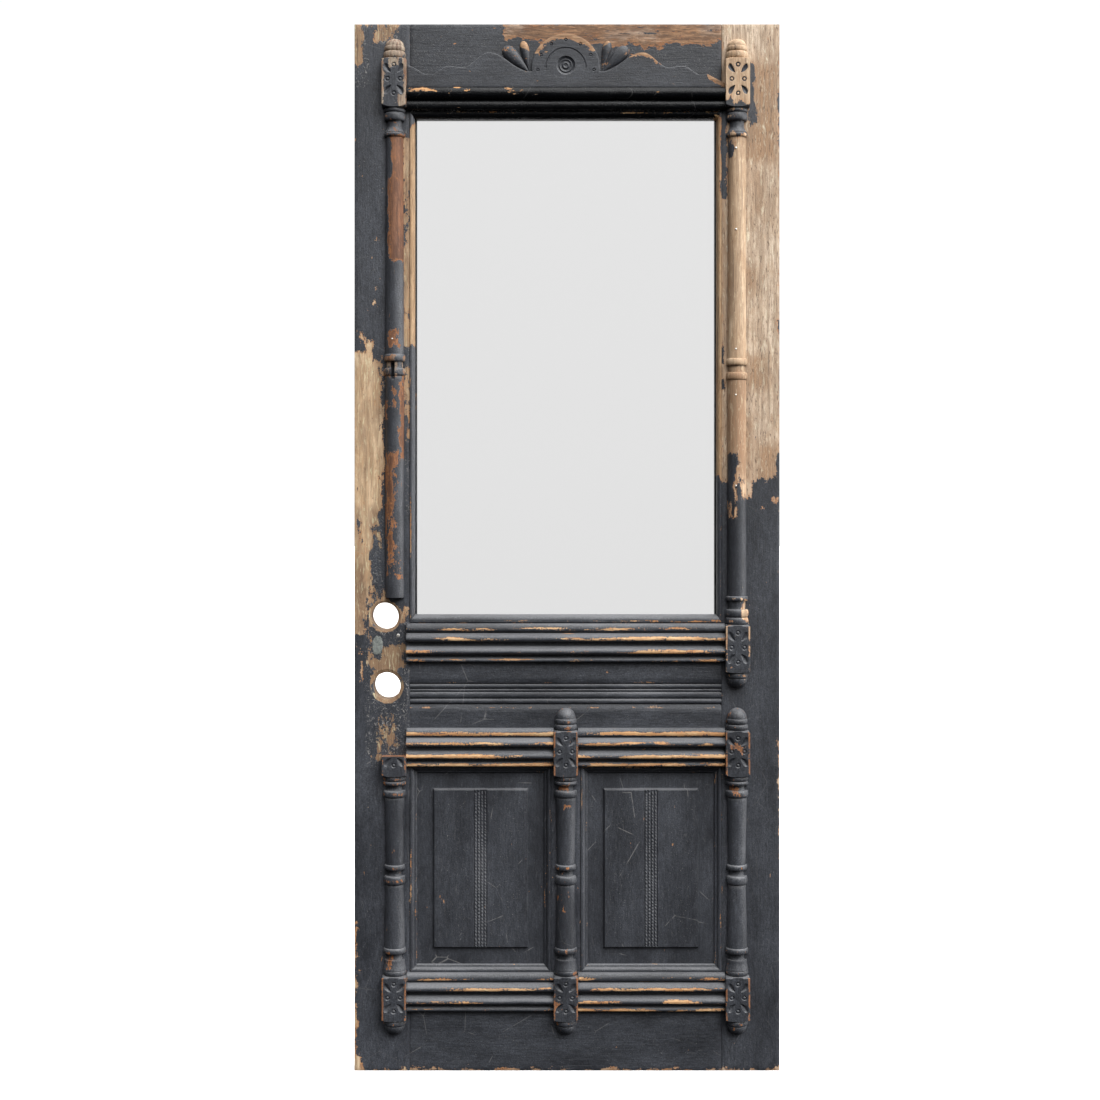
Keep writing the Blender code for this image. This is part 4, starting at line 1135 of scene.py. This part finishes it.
def crest_wear(x, y, z, half):
    """How far a place on the crest lies inside bare wood: the arch's rim, the wave's edge, the break."""
    depth = -25.0
    reach, angle = hypot(x, z - ARCH_CENTRE), degrees(atan2(z - ARCH_CENTRE, x))
    if 30 < angle < 155:
        depth = max(depth, 1400 * (reach - 0.0585) - 0.6 * max(35 - angle, angle - 150, 0))
    if abs(x) > FAN_ROOT:
        edge = 1000 * (wave_height((abs(x) - FAN_ROOT) / (half - FAN_ROOT)) - z)
        worn = 4.0 if 0.125 < x < 0.182 else -5.5
        depth = max(depth, worn - 0.9 * max(edge, 0))
    if x > half - BREAK:
        start = wave_height((half - BREAK - FAN_ROOT) / (half - FAN_ROOT))
        line = start + (BREAK_HEIGHT - start) * (x - half + BREAK) / BREAK
        depth = max(depth, 6 - 1200 * max(line - z - 0.003, 0))
    if y < -0.010:
        depth = max(depth, -6.0 + 1500 * (-y - 0.0095))
    return depth


crest()


# Nails and a screw
# Bright nail heads in the columns, and one old screw left in the lock stile.

steel, shader, place = new_material("bright_nail", {"Metallic": 0.7, "Roughness": 0.35})
spots = grain_noise(place, 900.0, 2.0)
feed(shader, {"Base Color": mixed(between(spots, 0.4, 0.7), (0.75, 0.74, 0.70), (0.42, 0.36, 0.30))})


def fastener(name, x, y, z, radius, rise, slotted=False):
    """A low round head, with a slot across it if it is a screw."""
    shape = bmesh.new()
    place = Matrix.Translation((x, y, z)) @ Matrix.Diagonal((radius, rise, radius, 1))
    ops.create_uvsphere(shape, u_segments=20, v_segments=12, radius=1, matrix=place)
    if slotted:
        for vert in shape.verts:
            if abs(vert.co.x - x) < 0.0007 and vert.co.y < y:
                vert.co.y = y - 0.0001
    shown(name, shape, steel)


NAILS = (("right", 0.7909), ("right", 0.6301), ("right", 0.3931), ("right", 0.3023), ("right", 0.1225),
         ("left", 0.4129))
NAIL_ASIDE = 0.0035
NAIL_REACH = 0.01773
for number, (column_side, z) in enumerate(NAILS, 1):
    x = SIDE_PLACES[column_side] - NAIL_ASIDE
    fastener(f"nail_{number}", x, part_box("column_right")[1].y - NAIL_REACH, z, 0.0021, 0.0010)
fastener("screw", -0.7551, FACE, -0.1750, 0.0034, 0.0011, slotted=True)


# Floor, light and camera
# A pale floor under the leaf, soft light from above and in front, and a level camera square to the face.

ground = bpy.data.meshes.new("floor")
floor = bmesh.new()
ops.create_grid(floor, x_segments=1, y_segments=1, size=40)
ops.translate(floor, verts=floor.verts, vec=(0, 0, LEAF_FOOT - 0.0005))
floor.to_mesh(ground)
floor.free()
ground.materials.append(new_material("pale_floor", {"Base Color": (0.93, 0.93, 0.93, 1), "Roughness": 0.9,
                                                    "Specular IOR Level": 0.0})[0])
floor = placed("floor", ground)
floor.visible_diffuse = floor.visible_glossy = floor.visible_transmission = False
floor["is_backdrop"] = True

sky = bpy.data.worlds.new("studio")
bpy.context.scene.world = sky
sky.use_nodes = True
direction = sky.node_tree.nodes.new("ShaderNodeTexCoord").outputs["Generated"]
parts = shade("SeparateXYZ", {0: direction}).node.outputs
rise = parts["Z"]
behind = between(parts["Y"], 0.35, 0.75)
front = maths("ADD", between(rise, 0.0, 0.55, 0.16, 0.95), between(rise, 0.50, 0.85, 0.0, 3.6))
front = maths("MULTIPLY", front, between(rise, -0.05, 0.02, 0.06, 1.0))
front = maths("MULTIPLY", front, between(parts["X"], -0.7, 0.5, 0.45, 1.1))
front = maths("MULTIPLY", front, maths("SUBTRACT", 1.0, behind))
strength = maths("MULTIPLY_ADD", behind, 1.02, front)
feed(sky.node_tree.nodes["Background"], {"Color": (1, 1, 1, 1), "Strength": strength})

LIT_PLACE = Vector((-0.42, 0.0, 0.0))
for name, place, size, energy in (("soft_box", (7.4, -10.0, 10.0), (12.5, 8.0), 2900),
                                  ("side_light", (4.6, -0.50, 0.2), (0.7, 3.2), 150)):
    lamp = bpy.data.lights.new(name, "AREA")
    lamp.shape = "RECTANGLE"
    lamp.size, lamp.size_y = size
    lamp.energy = energy
    light = placed(name, lamp)
    light.location = place
    light.rotation_mode = "QUATERNION"
    light.rotation_quaternion = (LIT_PLACE - light.location).to_track_quat("-Z", "Y")

PICTURE_WIDTH = 2.1868
DISTANCE = 3.5
SHIFT = -0.045
camera = bpy.data.cameras.new("camera")
camera.sensor_width = 36
camera.lens = 36 * DISTANCE / PICTURE_WIDTH
camera.shift_y = SHIFT
eye = placed("camera", camera)
eye.location = (-0.4533, FACE - DISTANCE, -0.00525 - SHIFT * PICTURE_WIDTH)
eye.rotation_euler = (pi / 2, 0, 0)
bpy.context.scene.camera = eye
bpy.context.scene.view_settings.view_transform = "Standard"

low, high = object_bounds()
